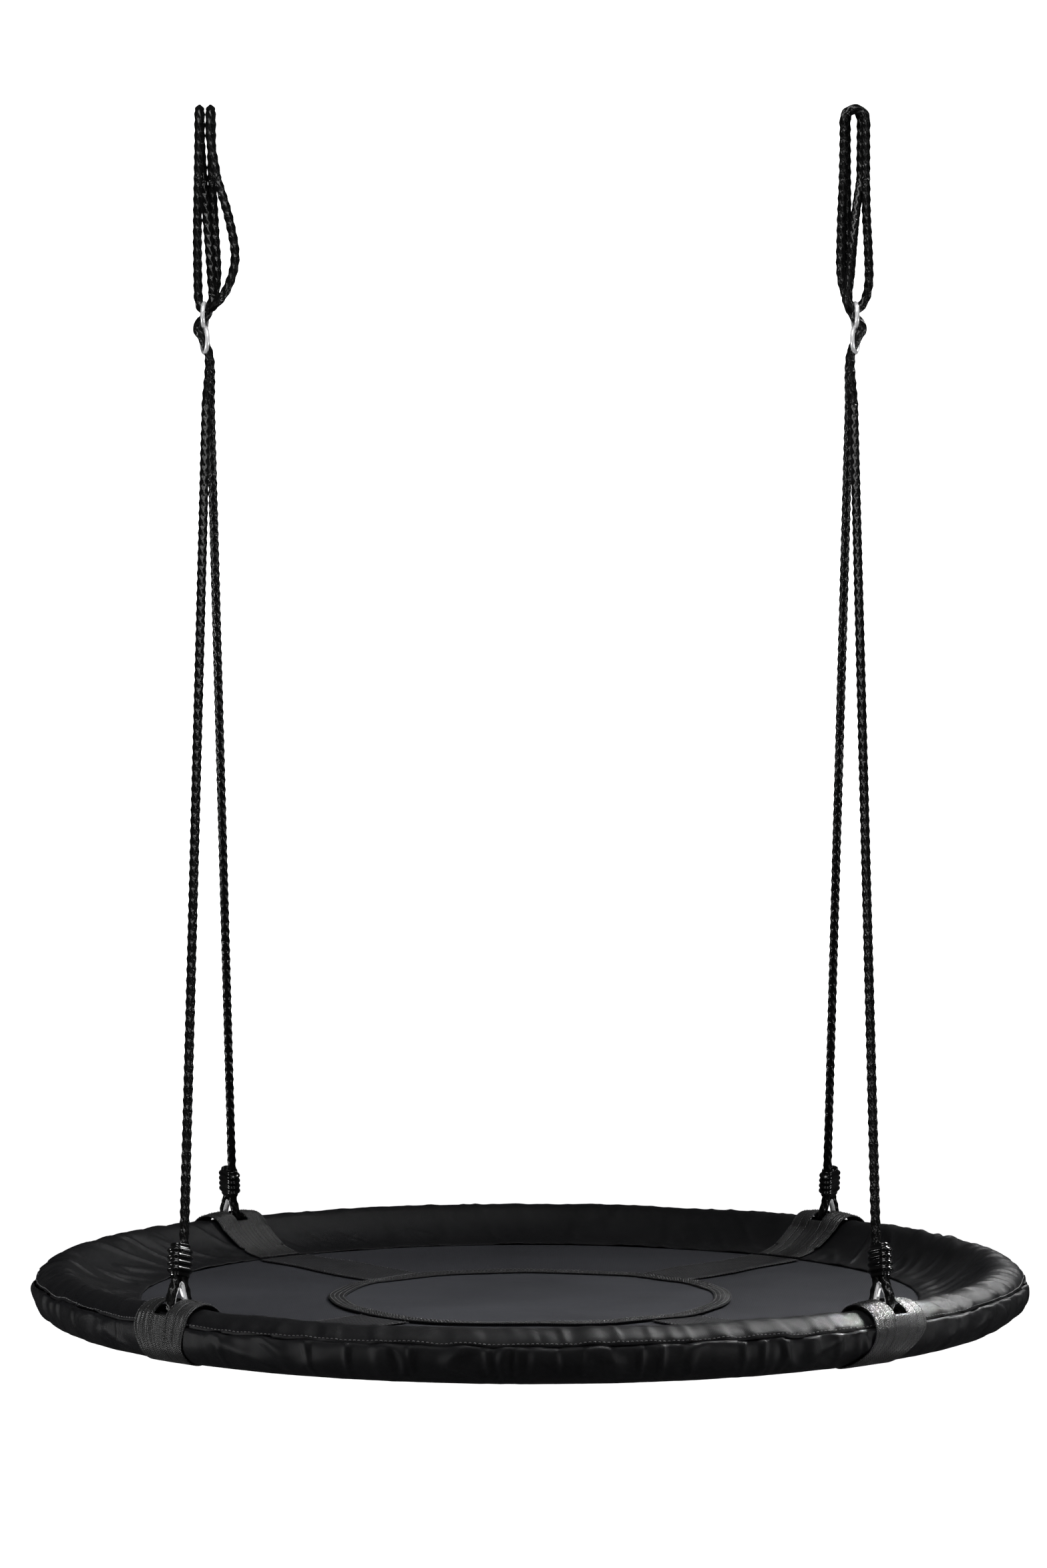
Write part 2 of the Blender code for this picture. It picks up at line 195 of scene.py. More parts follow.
def webbing_mat(name, dark, light, rough, spec, line0, gap, pitch=0.0024):
    """Herringbone ribs across the width; UV x across, y along, in metres."""
    m, nt, b = new_mat(name)
    uv = uv_vec(nt)
    sep = nt.nodes.new("ShaderNodeSeparateXYZ")
    nt.links.new(uv, sep.inputs[0])
    zig = math_node(nt, "PINGPONG", sep.outputs[0], 0.0035)
    ph = math_node(nt, "ADD", sep.outputs[1], math_node(nt, "MULTIPLY", zig, 0.8))
    rib = math_node(nt, "SINE", math_node(nt, "MULTIPLY", ph, 2 * math.pi / pitch))
    col_u = math_node(nt, "SINE", math_node(nt, "MULTIPLY", sep.outputs[0], 2 * math.pi / 0.0035))
    # stitch rows pull narrow grooves along the band; the grooves are bumps and also painted shade, darker in the base
    # colour
    off = math_node(nt, "ADD", math_node(nt, "ABSOLUTE", sep.outputs[0]), 8 * gap - line0)
    groove_and_painted_shade = map_range(nt, math_node(nt, "PINGPONG", off, gap / 2), 0.0005, 0.0016, 1.0, 0.0)
    h = math_node(nt, "ADD", rib, math_node(nt, "MULTIPLY", col_u, 0.5))
    h = math_node(nt, "SUBTRACT", h, math_node(nt, "MULTIPLY", groove_and_painted_shade, 3.0))
    co = nt.nodes.new("ShaderNodeTexCoord")
    n1 = node(nt, "ShaderNodeTexNoise", Scale=35.0, Detail=4.0)
    nt.links.new(co.outputs["Object"], n1.inputs["Vector"])
    v = math_node(nt, "ADD", map_range(nt, h, -1.5, 1.5, 0.0, 0.55),
                  math_node(nt, "MULTIPLY", n1.outputs[0], 0.45))
    # base colour follows the rib and groove height, with painted shade along the stitch grooves
    nt.links.new(ramp(nt, v, [(0.2, dark), (0.9, light)]), b.inputs["Base Color"])
    nt.links.new(map_range(nt, n1.outputs[0], 0.3, 0.7, rough - 0.08, rough + 0.08),
                 b.inputs["Roughness"])
    bump(nt, b, h, 0.5, 0.0005)
    b.inputs["Sheen Weight"].default_value = 0.02
    b.inputs["Sheen Roughness"].default_value = 0.45
    b.inputs["Specular IOR Level"].default_value = spec
    return m


def rope_mat():
    """Filament yarns; UV x runs along the yarn, y across it, in metres."""
    m, nt, b = new_mat("rope_braid")
    uv = uv_vec(nt)
    sep = nt.nodes.new("ShaderNodeSeparateXYZ")
    nt.links.new(uv, sep.inputs[0])
    fil = math_node(nt, "SINE", math_node(nt, "MULTIPLY", sep.outputs[1], 2 * math.pi / 0.0007))
    co = nt.nodes.new("ShaderNodeTexCoord")
    n1 = node(nt, "ShaderNodeTexNoise", Scale=160.0, Detail=3.0)
    nt.links.new(co.outputs["Object"], n1.inputs["Vector"])
    n2 = node(nt, "ShaderNodeTexNoise", Scale=12.0, Detail=3.0)
    nt.links.new(co.outputs["Object"], n2.inputs["Vector"])
    v = math_node(nt, "ADD", map_range(nt, fil, -1, 1, 0.0, 0.3),
                  math_node(nt, "MULTIPLY", n1.outputs[0], 0.7))
    nt.links.new(ramp(nt, v, [(0.2, (0.0005, 0.0005, 0.0005)), (0.85, (0.0028, 0.0028, 0.0029))]),
                 b.inputs["Base Color"])
    nt.links.new(map_range(nt, n2.outputs[0], 0.3, 0.7, 0.10, 0.20), b.inputs["Roughness"])
    bump(nt, b, fil, 0.2, 0.0002)
    b.inputs["Specular IOR Level"].default_value = 0.26
    return m


def steel_mat(name, base, rough, streak=60.0, metal=1.0):
    m, nt, b = new_mat(name)
    co = nt.nodes.new("ShaderNodeTexCoord")
    n1 = node(nt, "ShaderNodeTexNoise", Scale=streak, Detail=5.0, Roughness=0.6)
    nt.links.new(co.outputs["Object"], n1.inputs["Vector"])
    n2 = node(nt, "ShaderNodeTexVoronoi", Scale=240.0)
    nt.links.new(co.outputs["Object"], n2.inputs["Vector"])
    lo = tuple(c * 0.72 for c in base)
    nt.links.new(ramp(nt, n1.outputs[0], [(0.3, lo), (0.7, base)]), b.inputs["Base Color"])
    nt.links.new(map_range(nt, n1.outputs[0], 0.3, 0.7, rough, rough + 0.14),
                 b.inputs["Roughness"])
    bump(nt, b, n2.outputs[0], 0.08, 0.0003)
    b.inputs["Metallic"].default_value = metal
    return m


def plastic_mat():
    m, nt, b = new_mat("moulded_plastic")
    co = nt.nodes.new("ShaderNodeTexCoord")
    n1 = node(nt, "ShaderNodeTexNoise", Scale=900.0, Detail=2.0)
    nt.links.new(co.outputs["Object"], n1.inputs["Vector"])
    n2 = node(nt, "ShaderNodeTexNoise", Scale=45.0, Detail=3.0)
    nt.links.new(co.outputs["Object"], n2.inputs["Vector"])
    nt.links.new(ramp(nt, n2.outputs[0], [(0.3, (0.0008, 0.0008, 0.0009)), (0.75, (0.003, 0.003, 0.0032))]),
                 b.inputs["Base Color"])
    nt.links.new(map_range(nt, n2.outputs[0], 0.3, 0.7, 0.12, 0.22), b.inputs["Roughness"])
    bump(nt, b, n1.outputs[0], 0.1, 0.0002)
    b.inputs["Specular IOR Level"].default_value = 0.4
    return m


def foam_mat():
    m, nt, b = new_mat("closed_cell_foam")
    co = nt.nodes.new("ShaderNodeTexCoord")
    n1 = node(nt, "ShaderNodeTexVoronoi", Scale=500.0)
    nt.links.new(co.outputs["Object"], n1.inputs["Vector"])
    nt.links.new(ramp(nt, n1.outputs[0], [(0.0, (0.015, 0.015, 0.015)), (0.6, (0.035, 0.035, 0.036))]),
                 b.inputs["Base Color"])
    b.inputs["Roughness"].default_value = 0.9
    bump(nt, b, n1.outputs[0], 0.4, 0.0006)
    return m


M_ROPE = rope_mat()
M_RIM = fabric("rim_coated_fabric", (0.0022, 0.00225, 0.0026), (0.0064, 0.0066, 0.0076), 0.44,
               0.0016, 0.0016, 0.35, 0.0, 7.0, 0.0003, 0.11)
M_PANEL = fabric("centre_coated_fabric", (0.0185, 0.0190, 0.0216), (0.044, 0.0453, 0.0515), 0.55,
                 0.0016, 0.0016, 0.35, 0.0, 5.0, 0.0003, 0.05)
M_MAT = fabric("mat_woven_fabric", (0.0112, 0.0115, 0.0132), (0.043, 0.0443, 0.0506), 0.6,
               0.0044, 0.0044, 0.8, 0.0, 4.0, 0.0006, 0.05)
M_WEB = webbing_mat("webbing_flat", (0.002, 0.002, 0.0022), (0.026, 0.0264, 0.029), 0.5, 0.12, 0.0368, 0.074,
                    0.0052)
M_BIND = webbing_mat("webbing_binding", (0.003, 0.003, 0.0033), (0.017, 0.0172, 0.0186), 0.5, 0.12,
                     0.0027, 0.0053)
M_STRAP = webbing_mat("webbing_strap", (0.0015, 0.0015, 0.0016), (0.0082, 0.0083, 0.0086), 0.42, 0.45,
                      0.0115, 0.013)
M_THREAD = fabric("stitch_thread", (0.03, 0.03, 0.031), (0.09, 0.09, 0.093), 0.5,
                  0.001, 0.001, 0.3, 0.1, 60.0)
M_STEEL = steel_mat("adjuster_bright_steel", (0.80, 0.80, 0.81), 0.26, 60.0, 0.5)
M_THIMBLE = steel_mat("thimble_galvanised", (0.90, 0.90, 0.91), 0.22, 90.0, 0.4)
M_TUBE = steel_mat("hoop_tube_steel", (0.5, 0.51, 0.52), 0.3, 30.0)
M_STAPLE = steel_mat("anchor_staple_steel", (0.16, 0.16, 0.165), 0.45, 40.0)
M_PLASTIC = plastic_mat()
M_FOAM = foam_mat()

for name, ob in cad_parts.items():
    if name.startswith(("frame_tube", "frame_spigot")):
        mat = M_TUBE
    elif name.startswith("anchor_staple"):
        mat = M_STAPLE
    else:
        continue
    ob.data.materials.clear()
    ob.data.materials.append(mat)


# ------------------------------------------------------------------ helpers
def make(name, verts, faces, mat, uvs=None, smooth=True):
    me = bpy.data.meshes.new(name)
    me.from_pydata([tuple(v) for v in verts], [], faces)
    if uvs is not None:
        layer = me.uv_layers.new(name="UVMap")
        idx = np.empty(len(me.loops), dtype=np.int32)
        me.loops.foreach_get("vertex_index", idx)
        if isinstance(uvs, np.ndarray) and uvs.shape[0] == len(me.loops):
            data = uvs
        else:
            data = np.asarray(uvs, dtype=np.float32)[idx]
        layer.data.foreach_set("uv", np.ascontiguousarray(data, dtype=np.float32).ravel())
    if smooth:
        me.shade_smooth()
    me.materials.append(mat)
    me.validate()
    ob = bpy.data.objects.new(name, me)
    scene.collection.objects.link(ob)
    return ob


def catmull(ctrl, step):
    """Dense points on a centripetal Catmull-Rom curve, evenly spaced."""
    P = [Vector(p) for p in ctrl]
    P = [P[0] * 2 - P[1]] + P + [P[-1] * 2 - P[-2]]
    out = []
    for i in range(1, len(P) - 2):
        p0, p1, p2, p3 = P[i - 1:i + 3]
        t0 = 0.0
        t1 = t0 + max((p1 - p0).length, 1e-9) ** 0.5
        t2 = t1 + max((p2 - p1).length, 1e-9) ** 0.5
        t3 = t2 + max((p3 - p2).length, 1e-9) ** 0.5
        n = max(4, int((p2 - p1).length / step * 1.5))
        for k in range(n):
            t = t1 + (t2 - t1) * k / n
            a1 = p0 * ((t1 - t) / (t1 - t0)) + p1 * ((t - t0) / (t1 - t0))
            a2 = p1 * ((t2 - t) / (t2 - t1)) + p2 * ((t - t1) / (t2 - t1))
            a3 = p2 * ((t3 - t) / (t3 - t2)) + p3 * ((t - t2) / (t3 - t2))
            b1 = a1 * ((t2 - t) / (t2 - t0)) + a2 * ((t - t0) / (t2 - t0))
            b2 = a2 * ((t3 - t) / (t3 - t1)) + a3 * ((t - t1) / (t3 - t1))
            out.append(b1 * ((t2 - t) / (t2 - t1)) + b2 * ((t - t1) / (t2 - t1)))
    out.append(P[-2].copy())
    return even(out, step)


def even(pts, step):
    A = np.array([tuple(p) for p in pts])
    d = np.linalg.norm(np.diff(A, axis=0), axis=1)
    s = np.concatenate([[0], np.cumsum(d)])
    n = max(2, int(round(s[-1] / step)))
    q = np.linspace(0, s[-1], n + 1)
    return np.stack([np.interp(q, s, A[:, i]) for i in range(3)], axis=1)


def frames(A, up=(0.0, 1.0, 0.0)):
    """Parallel-transport frames along a polyline."""
    T = np.gradient(A, axis=0)
    T /= np.linalg.norm(T, axis=1)[:, None]
    N = np.zeros_like(A)
    n = np.array(up) - T[0] * np.dot(up, T[0])
    if np.linalg.norm(n) < 1e-3:
        n = np.array((1.0, 0, 0)) - T[0] * T[0][0]
    n /= np.linalg.norm(n)
    for i in range(len(A)):
        n = n - T[i] * np.dot(n, T[i])
        n /= np.linalg.norm(n)
        N[i] = n
    B = np.cross(T, N)
    return T, N, B


def braid_tube(name, A, s0=0.0, sides=24, r=ROPE_R, plaits=8, lay=0.026):
    """Braided rope: two families of yarns that pass over and under in turn."""
    T, N, B = frames(A)
    d = np.linalg.norm(np.diff(A, axis=0), axis=1)
    s = s0 + np.concatenate([[0], np.cumsum(d)])
    th = np.arange(sides) * 2 * math.pi / sides
    S, TH = np.meshgrid(s, th, indexing="ij")
    half = plaits / 2
    u = half * TH / (2 * math.pi) * 2 + S / lay * half
    v = half * TH / (2 * math.pi) * 2 - S / lay * half
    h1 = np.abs(np.cos(math.pi * u / 2))
    h2 = np.abs(np.cos(math.pi * v / 2))
    over = 0.5 + 0.5 * np.cos(math.pi * (u + v) / 2) * np.cos(math.pi * (u - v) / 2)
    hh = np.maximum(h1 ** 0.8 * (0.72 + 0.28 * over), 0.80 * h2 * (1.0 - 0.35 * over))
    rad = r * (0.76 + 0.42 * hh)
    X = A[:, None, :] + rad[..., None] * (np.cos(TH)[..., None] * N[:, None, :]
                                           + np.sin(TH)[..., None] * B[:, None, :])
    n = len(A)
    verts = X.reshape(-1, 3)
    faces = []
    for i in range(n - 1):
        for j in range(sides):
            a, b = i * sides + j, i * sides + (j + 1) % sides
            faces.append((a, b, b + sides, a + sides))
    faces.append(tuple(reversed(range(sides))))
    faces.append(tuple(range((n - 1) * sides, n * sides)))
    side = TH * r
    uv = np.stack([S * math.cos(0.6) + side * math.sin(0.6),
                   np.where(h1 * (0.55 + 0.45 * over) > h2 * (1 - 0.45 * over),
                            -S * 0.5 + side, S * 0.5 + side)], axis=-1).reshape(-1, 2)
    return make(name, verts, faces, M_ROPE, uv)


def rope_piece(name, A, body=None, blend=None, s0=0.0, nodes=()):
    ob = braid_tube(name, A, s0)
    if blend:
        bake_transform(ob)
    else:
        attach(ob, body)
    if nodes:
        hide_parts(*nodes)
    return ob


def hoop_pt(deg, r=HOOP_R, z=0.0):
    a = math.radians(deg)
    return Vector((r * math.cos(a), r * math.sin(a), SEAT_Z + z))


def eye_half(h):
    return STRAND + (EYE_R - STRAND) * (1.0 - sstep(h / CLAMP_LO))


def anchor_axes(name, side, end):
    deg = ANCHORS[name]
    sx = -1.0 if side == "left" else 1.0
    dx = -STRAND if end == "front" else STRAND
    pin = hoop_pt(deg, HOOP_R, PIN_H)
    top = Vector((sx * HANG_X + dx, 0.0065, YOKE_Z))
    a = math.radians(deg)
    rad = Vector((math.cos(a), math.sin(a), 0))
    u = (top - pin).normalized()
    er = (rad - u * rad.dot(u)).normalized()
    et = u.cross(er)
    return pin, top, er, et, u


# -------------------------------------------------------------------- camera
MM_PX = 0.600 / 741.5                  # scale in the plane of the hang line
F_PX = 6314.0
cam = bpy.data.cameras.new("camera")
cam.sensor_fit = "VERTICAL"
cam.sensor_height = 24.0
cam.lens = F_PX / 2349.0 * 24.0
cam.clip_end = 60.0
cob = bpy.data.objects.new("camera", cam)
scene.collection.objects.link(cob)
cob.location = (-9.5 * MM_PX, -F_PX * MM_PX, SEAT_Z + 866.0 * MM_PX)
cob.rotation_euler = (math.radians(90.0 - 1.048), 0, 0)
scene.camera = cob

# ------------------------------------------------------- lights and backdrop
world = bpy.data.worlds.new("studio")
scene.world = world
world.use_nodes = True
bg = world.node_tree.nodes["Background"]
bg.inputs[0].default_value = (1, 1, 1, 1)
bg.inputs[1].default_value = 0.05


def area(name, loc, target, size, power, size_y=None):
    li = bpy.data.lights.new(name, "AREA")
    li.energy = power
    li.size = size
    if size_y:
        li.shape = "RECTANGLE"
        li.size_y = size_y
    ob = bpy.data.objects.new(name, li)
    scene.collection.objects.link(ob)
    ob.location = loc
    ob.rotation_euler = (Vector(target) - Vector(loc)).to_track_quat("-Z", "Y").to_euler()
    return ob


key = area("key", (1.75, 1.25, 0.75), (0.42, -0.40, -1.4), 0.9, 6.2, 0.7)
key.data.spread = math.radians(28)
far_side = area("key_left", (1.3, 0.7, 0.9), (-0.45, 0.0, -1.41), 0.8, 2.0, 0.6)
far_side.data.spread = math.radians(24)
glint = area("glint", (1.60, 1.10, 0.85), (0.415, -0.432, -1.380), 0.08, 0.20)
glint.data.spread = math.radians(3)
area("overhead", (-0.1, -1.1, 1.2), (-0.05, 0.0, -1.4), 1.2, 48, 0.9)
area("side", (-3.0, -1.0, -1.72), (-0.5, -0.2, -1.42), 0.9, 62, 0.25)
# tall strips that only show as glints in rope and metal
area("side_right", (3.0, -0.9, -1.72), (0.5, -0.2, -1.42), 0.7, 42, 0.25)
area("strip_right", (1.5, -3.6, -0.5), (0.0, 0.0, -0.6), 0.35, 12, 1.8)
area("strip_left", (-1.3, -3.4, -0.4), (0.0, 0.0, -0.6), 0.3, 9, 1.8)


def stage_plane(name, corners, ramp_y):
    """Pale studio surface that glows towards the back of the set."""
    m, nt, b = new_mat(name + "_pale")
    co = nt.nodes.new("ShaderNodeTexCoord")
    n1 = node(nt, "ShaderNodeTexNoise", Scale=0.6, Detail=2.0)
    nt.links.new(co.outputs["Object"], n1.inputs["Vector"])
    nt.links.new(ramp(nt, n1.outputs[0], [(0.2, (0.90, 0.90, 0.90)), (0.8, (0.93, 0.93, 0.93))]),
                 b.inputs["Base Color"])
    b.inputs["Roughness"].default_value = 0.95
    b.inputs["Specular IOR Level"].default_value = 0.0
    b.inputs["Emission Color"].default_value = (1, 1, 1, 1)
    sep = nt.nodes.new("ShaderNodeSeparateXYZ")
    nt.links.new(co.outputs["Object"], sep.inputs[0])
    back = map_range(nt, sep.outputs[1], ramp_y[0], ramp_y[1], 0.0, 1.0)
    wide = map_range(nt, math_node(nt, "ABSOLUTE", sep.outputs[0]), 1.7, 2.3, 1.0, 0.05)
    high = map_range(nt, sep.outputs[2], 1.4, 2.2, 1.0, 0.05)
    nt.links.new(math_node(nt, "MULTIPLY", back, math_node(nt, "MULTIPLY", wide, high)),
                 b.inputs["Emission Strength"])
    ob = make(name, corners, [(0, 1, 2, 3)], m, np.array([(0, 0), (1, 0), (1, 1), (0, 1)]), False)
    # the set stays out of the object's reflections
    ob.visible_glossy = False
    return ob


stage_plane("studio_floor", [(-14, -8, -1.86), (14, -8, -1.86), (14, 6, -1.86), (-14, 6, -1.86)],
            (0.0, 0.5))
stage_plane("studio_backdrop", [(-14, 6, -1.86), (14, 6, -1.86), (14, 6, 9), (-14, 6, 9)],
            (0.0, 1.0)).visible_diffuse = False

# --------------------------------------------------------------------- ropes
STEP = 0.0018
TOP_CUT = -0.072
UP_END = RING_Z + 0.040
WEAVE_END = RING_Z - 0.026
LOW_END = -0.346


def cut(A, z):
    """Index of the first point at or past height z on a falling path."""
    for i in range(len(A)):
        if A[i][2] <= z:
            return max(i, 1)
    return len(A) - 1


for side, m in (("left", 1.0), ("right", -1.0)):
    hx = (-1.0 if side == "left" else 1.0) * HANG_X
    turned_head = side == "right"
    ring_y = -HOOK_BEND
    bow = 0.030 if side == "left" else 0.012
    adj, legs = side + "_adjuster", side + "_legs"
    ret_tops = []
    for k, dx, end in (("1", -STRAND, "front"), ("2", STRAND, "back")):
        pin, top, er, et, u = anchor_axes(end + "_" + side, side, end)
        # the two legs hang one behind the other below the ring
        top = Vector((hx + m * (0.0013 if end == "front" else 0.0043), top.y, top.z))
        yk = ring_y + (-0.0053 if end == "front" else 0.0053)
        back = 0.0054 if end == "front" else 0.0054

        def leg_at(z):
            st = pin + er * -STRAND + u * (CLAMP_HI + 0.004)
            t = (z - st.z) / (top.z - st.z)
            return st.lerp(top, t)

        R = lambda x, y, z: (hx + x, y, z)
        if turned_head:
            yy = -STRAND if k == "1" else STRAND
            b0, b1 = ((m * 0.0131, yy), (-m * 0.0131, yy)) if k == "1" else ((m * 0.0095, yy), (-m * 0.0083, yy))
        else:
            b0, b1 = (dx * 1.28, HOOK_BEND), (dx * 1.28, -HOOK_BEND)
        # return side, bight and standing side of the loop over the hook
        arcs = []
        for i in range(9):
            a = math.pi * i / 8
            f = 0.5 + 0.5 * math.cos(a)
            arcs.append(R(b1[0] * f + b0[0] * (1 - f), b1[1] * f + b0[1] * (1 - f),
                          HOOK_BEND * math.sin(a)))
        ret_x = -m * 0.0085 if k == ("1" if m > 0 else "2") else m * (0.010 + bow * 0.45)
        if turned_head:
            ret_x = -m * 0.0131 if k == "1" else -m * 0.0078
        rt = R(ret_x if turned_head else b1[0] * 0.5 + ret_x * 0.5,
               b1[1] * 0.9 - 0.001 if turned_head else -HOOK_BEND, TOP_CUT)
        ret_tops.append((k, Vector(rt), Vector(R(b1[0], b1[1], -0.02))))
        # across the set at three heights, away from the ring on the standing side
        if turned_head:
            sx = (0.0140, 0.0165, 0.0165) if k == "1" else (0.0092, 0.0085, 0.0075)
        else:
            sx = (-0.0030, 0.0032, 0.0082) if k == "1" else (0.0075, 0.0112, 0.0138)
        stand = [R(b0[0], b0[1], -0.020),
                 R(m * sx[0], b0[1] * 0.75, TOP_CUT),
                 R(m * sx[1], b0[1] * 0.3 + yk * 0.45 + 0.004, -0.135),
                 R(m * sx[2], yk + back + 0.001, RING_Z + 0.060),
                 R(m * 0.0095, yk + back * 0.8, RING_Z + 0.034),
                 R(m * 0.0015, yk + 0.0005, RING_Z + 0.0150),
                 R(-m * 0.0085, yk, RING_Z + 0.000),
                 R(-m * 0.0010, yk, RING_Z - 0.0155),
                 R(m * 0.0052, yk * 0.8, RING_Z - 0.034),
                 tuple(leg_at(LOW_END)), tuple(leg_at(-0.40)), tuple(leg_at(-0.50))]
        full = catmull([rt, R(b1[0], b1[1], -0.020)] + arcs + stand, STEP)
        # the path falls to its end once it is over the hook
        apex = int(np.argmax(full[:, 2]))
        tail = full[apex:]
        i1 = apex + cut(tail, TOP_CUT)
        i2 = apex + cut(tail, UP_END)
        # the weave is not steadily falling, so its end is taken by the last crossing
        i3 = max(i for i in range(apex, len(full)) if full[i][2] > WEAVE_END)
        i4 = max(i for i in range(apex, len(full)) if full[i][2] > LOW_END)
        nm = "%s_rope_%s" % (side, k)
        o = 0
        rope_piece(nm + "_loop_top", full[:i1 + 1],
                   blend=("hook_bights", "hanger", (hx, 0, 0.0), (hx, 0, -0.066)), s0=0.0,
                   nodes=["%s_hook_bight_%s" % (side, k)])
        rope_piece(nm + "_standing", full[i1:i2 + 1], s0=i1 * STEP,
                   blend=("hanger", adj, (hx, 0, TOP_CUT), (hx, 0, UP_END)),
                   nodes=["%s_standing_strand_%s" % (side, k)])
        rope_piece(nm + "_weave", full[i2:i3 + 1], body=adj, s0=i2 * STEP)
        rope_piece(nm + "_below_ring", full[i3:i4 + 1], s0=i3 * STEP,
                   blend=(adj, "hanger", (hx, 0, WEAVE_END), (hx, 0, LOW_END)))

        # leg with its eye
        def at(x, h):
            return tuple(pin + er * x + u * h)
        ctrl = [tuple(full[i4])] + [tuple(leg_at(z)) for z in (-0.40, -0.50, -0.70, -0.95, -1.18)]
        ctrl += [at(-STRAND, CLAMP_HI + 0.004), at(-STRAND, CLAMP_LO)]
        ctrl += [at(-eye_half(CLAMP_LO * (1 - i / 4)), CLAMP_LO * (1 - i / 4)) for i in range(1, 4)]
        ctrl += [at(-EYE_R * math.cos(b), -EYE_R * math.sin(b))
                 for b in (math.pi * i / 8 for i in range(9))]
        ctrl += [at(eye_half(CLAMP_LO * i / 4), CLAMP_LO * i / 4) for i in range(1, 4)]
        ctrl += [at(STRAND, CLAMP_LO), at(STRAND, CLAMP_HI - 0.003)]
        A = catmull(ctrl, STEP)
        rope_piece(nm + "_leg", A, s0=i4 * STEP,
                   blend=("hanger", legs, (hx, 0, LOW_END), (hx, 0, -0.47)),
                   nodes=[end + "_" + side + "_leg"])

    # the returning bight that holds the ring
    first, second = ret_tops[0][1], ret_tops[1][1]
    R = lambda x, y, z: (hx + x, y, z)
    if side == "left":
        ctrl = [tuple(first),
                R(-m * 0.0085, ring_y - 0.001, -0.135),
                R(-m * 0.0080, ring_y, RING_Z + 0.052),
                R(-m * 0.0070, ring_y, RING_Z + 0.033),
                R(-m * 0.0030, ring_y - 0.002, RING_Z + 0.0225),
                R(m * 0.0060, ring_y - 0.008, RING_Z + 0.0225),
                R(m * 0.0195, ring_y - 0.010, RING_Z + 0.034),
                R(m * 0.0300, ring_y - 0.008, RING_Z + 0.052),
                R(m * 0.0372, ring_y - 0.006, RING_Z + 0.083),
                R(m * 0.0300, ring_y - 0.004, -0.122),
                tuple(second)]
    else:
        ctrl = [tuple(first),
                R(-m * 0.0140, -0.008, -0.118),
                R(-m * 0.0160, -0.011, -0.160),
                R(-m * 0.0162, ring_y, RING_Z + 0.052),
                R(-m * 0.0115, ring_y, RING_Z + 0.033),
                R(-m * 0.0030, ring_y - 0.002, RING_Z + 0.0225),
                R(m * 0.0060, ring_y - 0.008, RING_Z + 0.0225),
                R(m * 0.0095, ring_y - 0.012, RING_Z + 0.036),
                R(m * 0.0070, ring_y - 0.014, RING_Z + 0.062),
                R(m * 0.0030, ring_y - 0.010, -0.145),
                R(-m * 0.0015, -0.010, -0.108),
                tuple(second)]
    A = catmull(ctrl, STEP)
    rope_piece(side + "_rope_return", A, s0=0.3,
               blend=("hanger", adj, (hx, 0, TOP_CUT), (hx, 0, RING_Z + 0.024)),
               nodes=[side + "_return_bight", side + "_return_strand_1", side + "_return_strand_2"])

# ---------------------------------------------------------------------- seat
RING_WIRE = 0.00275
RING_R = 0.0146
WEB_T = 0.0016
GAP = 0.0003
STRAP_HALF = 0.040
SLIT_HALF = 0.0085
STRAP_ARCH = 0.0064
MAT_T = 0.0025


def mat_z(r, up=0.0):
    return -0.0125 - MAT_SAG * (1.0 - (r / MAT_R) ** 2) + up


def pad_point(deg, r=PAD_R):
    a = math.radians(deg)
    return (HOOP_R + r * math.cos(a), r * math.sin(a))


FULLNESS = ((-116, 0.0310), (-92, 0.0310), (-70, 0.0300), (-50, 0.0291), (-31, 0.0289), (-13, 0.0294),
            (2, 0.0301), (15, 0.0309), (27, 0.0316), (45, 0.0300), (63, 0.0295), (81, 0.0302),
            (98, 0.0309), (114, 0.0310), (130, 0.0310))


def cloth_point(deg):
    """Cloth pulled straight between the seam, the crown and the foot of the pad."""
    return pad_point(deg, float(np.interp(deg, [a for a, _ in FULLNESS], [r for _, r in FULLNESS])))


def top_profile():
    pts = [cloth_point(d) for d in (27, 45, 63, 81, 98, 114, 130)]
    r0, z0 = pts[-1]
    r1, z1 = 0.470, mat_z(0.470, 0.0022)
    for t in (0.18, 0.40, 0.66, 1.0):
        fall = 1 - (1 - t) ** 1.9
        pts.append((r0 + (r1 - r0) * t, z0 + (z1 - z0) * fall))
    return pts


def wall_profile():
    pts = [cloth_point(d) for d in (25.8, 15, 2, -13, -31, -50, -70, -92, -116)]
    return pts + [(0.535, -0.0225), (0.505, -0.0190), (0.470, mat_z(0.470, -MAT_T - 0.0026))]


def smooth_profile(pts, n):
    A = catmull([(r, 0.0, z) for r, z in pts], 0.0005)
    A = even([tuple(p) for p in A], 0.0005)
    d = np.concatenate([[0], np.cumsum(np.linalg.norm(np.diff(A, axis=0), axis=1))])
    q = np.linspace(0, d[-1], n)
    R = np.interp(q, d, A[:, 0])
    Z = np.interp(q, d, A[:, 2])
    return R, Z, q


def near_anchor(phi, width):
    """1 at an anchor, falling to 0 at an arc distance of width."""
    best = 0.0
    for deg in ANCHORS.values():
        d = abs((phi - math.radians(deg) + math.pi) % (2 * math.pi) - math.pi) * HOOP_R
        best = max(best, 1.0 - sstep(d / width))
    return best


def crease(n, width):
    """A narrow rounded ridge along the zero line of a noise."""
    x = max(0.0, 1.0 - abs(n) / width)
    return x * x * (3 - 2 * x)


def ring_noise(phi, s, wave, along, seed):
    c = HOOP_R / wave
    return noise.noise(Vector((c * math.cos(phi) + seed, c * math.sin(phi) - seed, s / along + seed)))


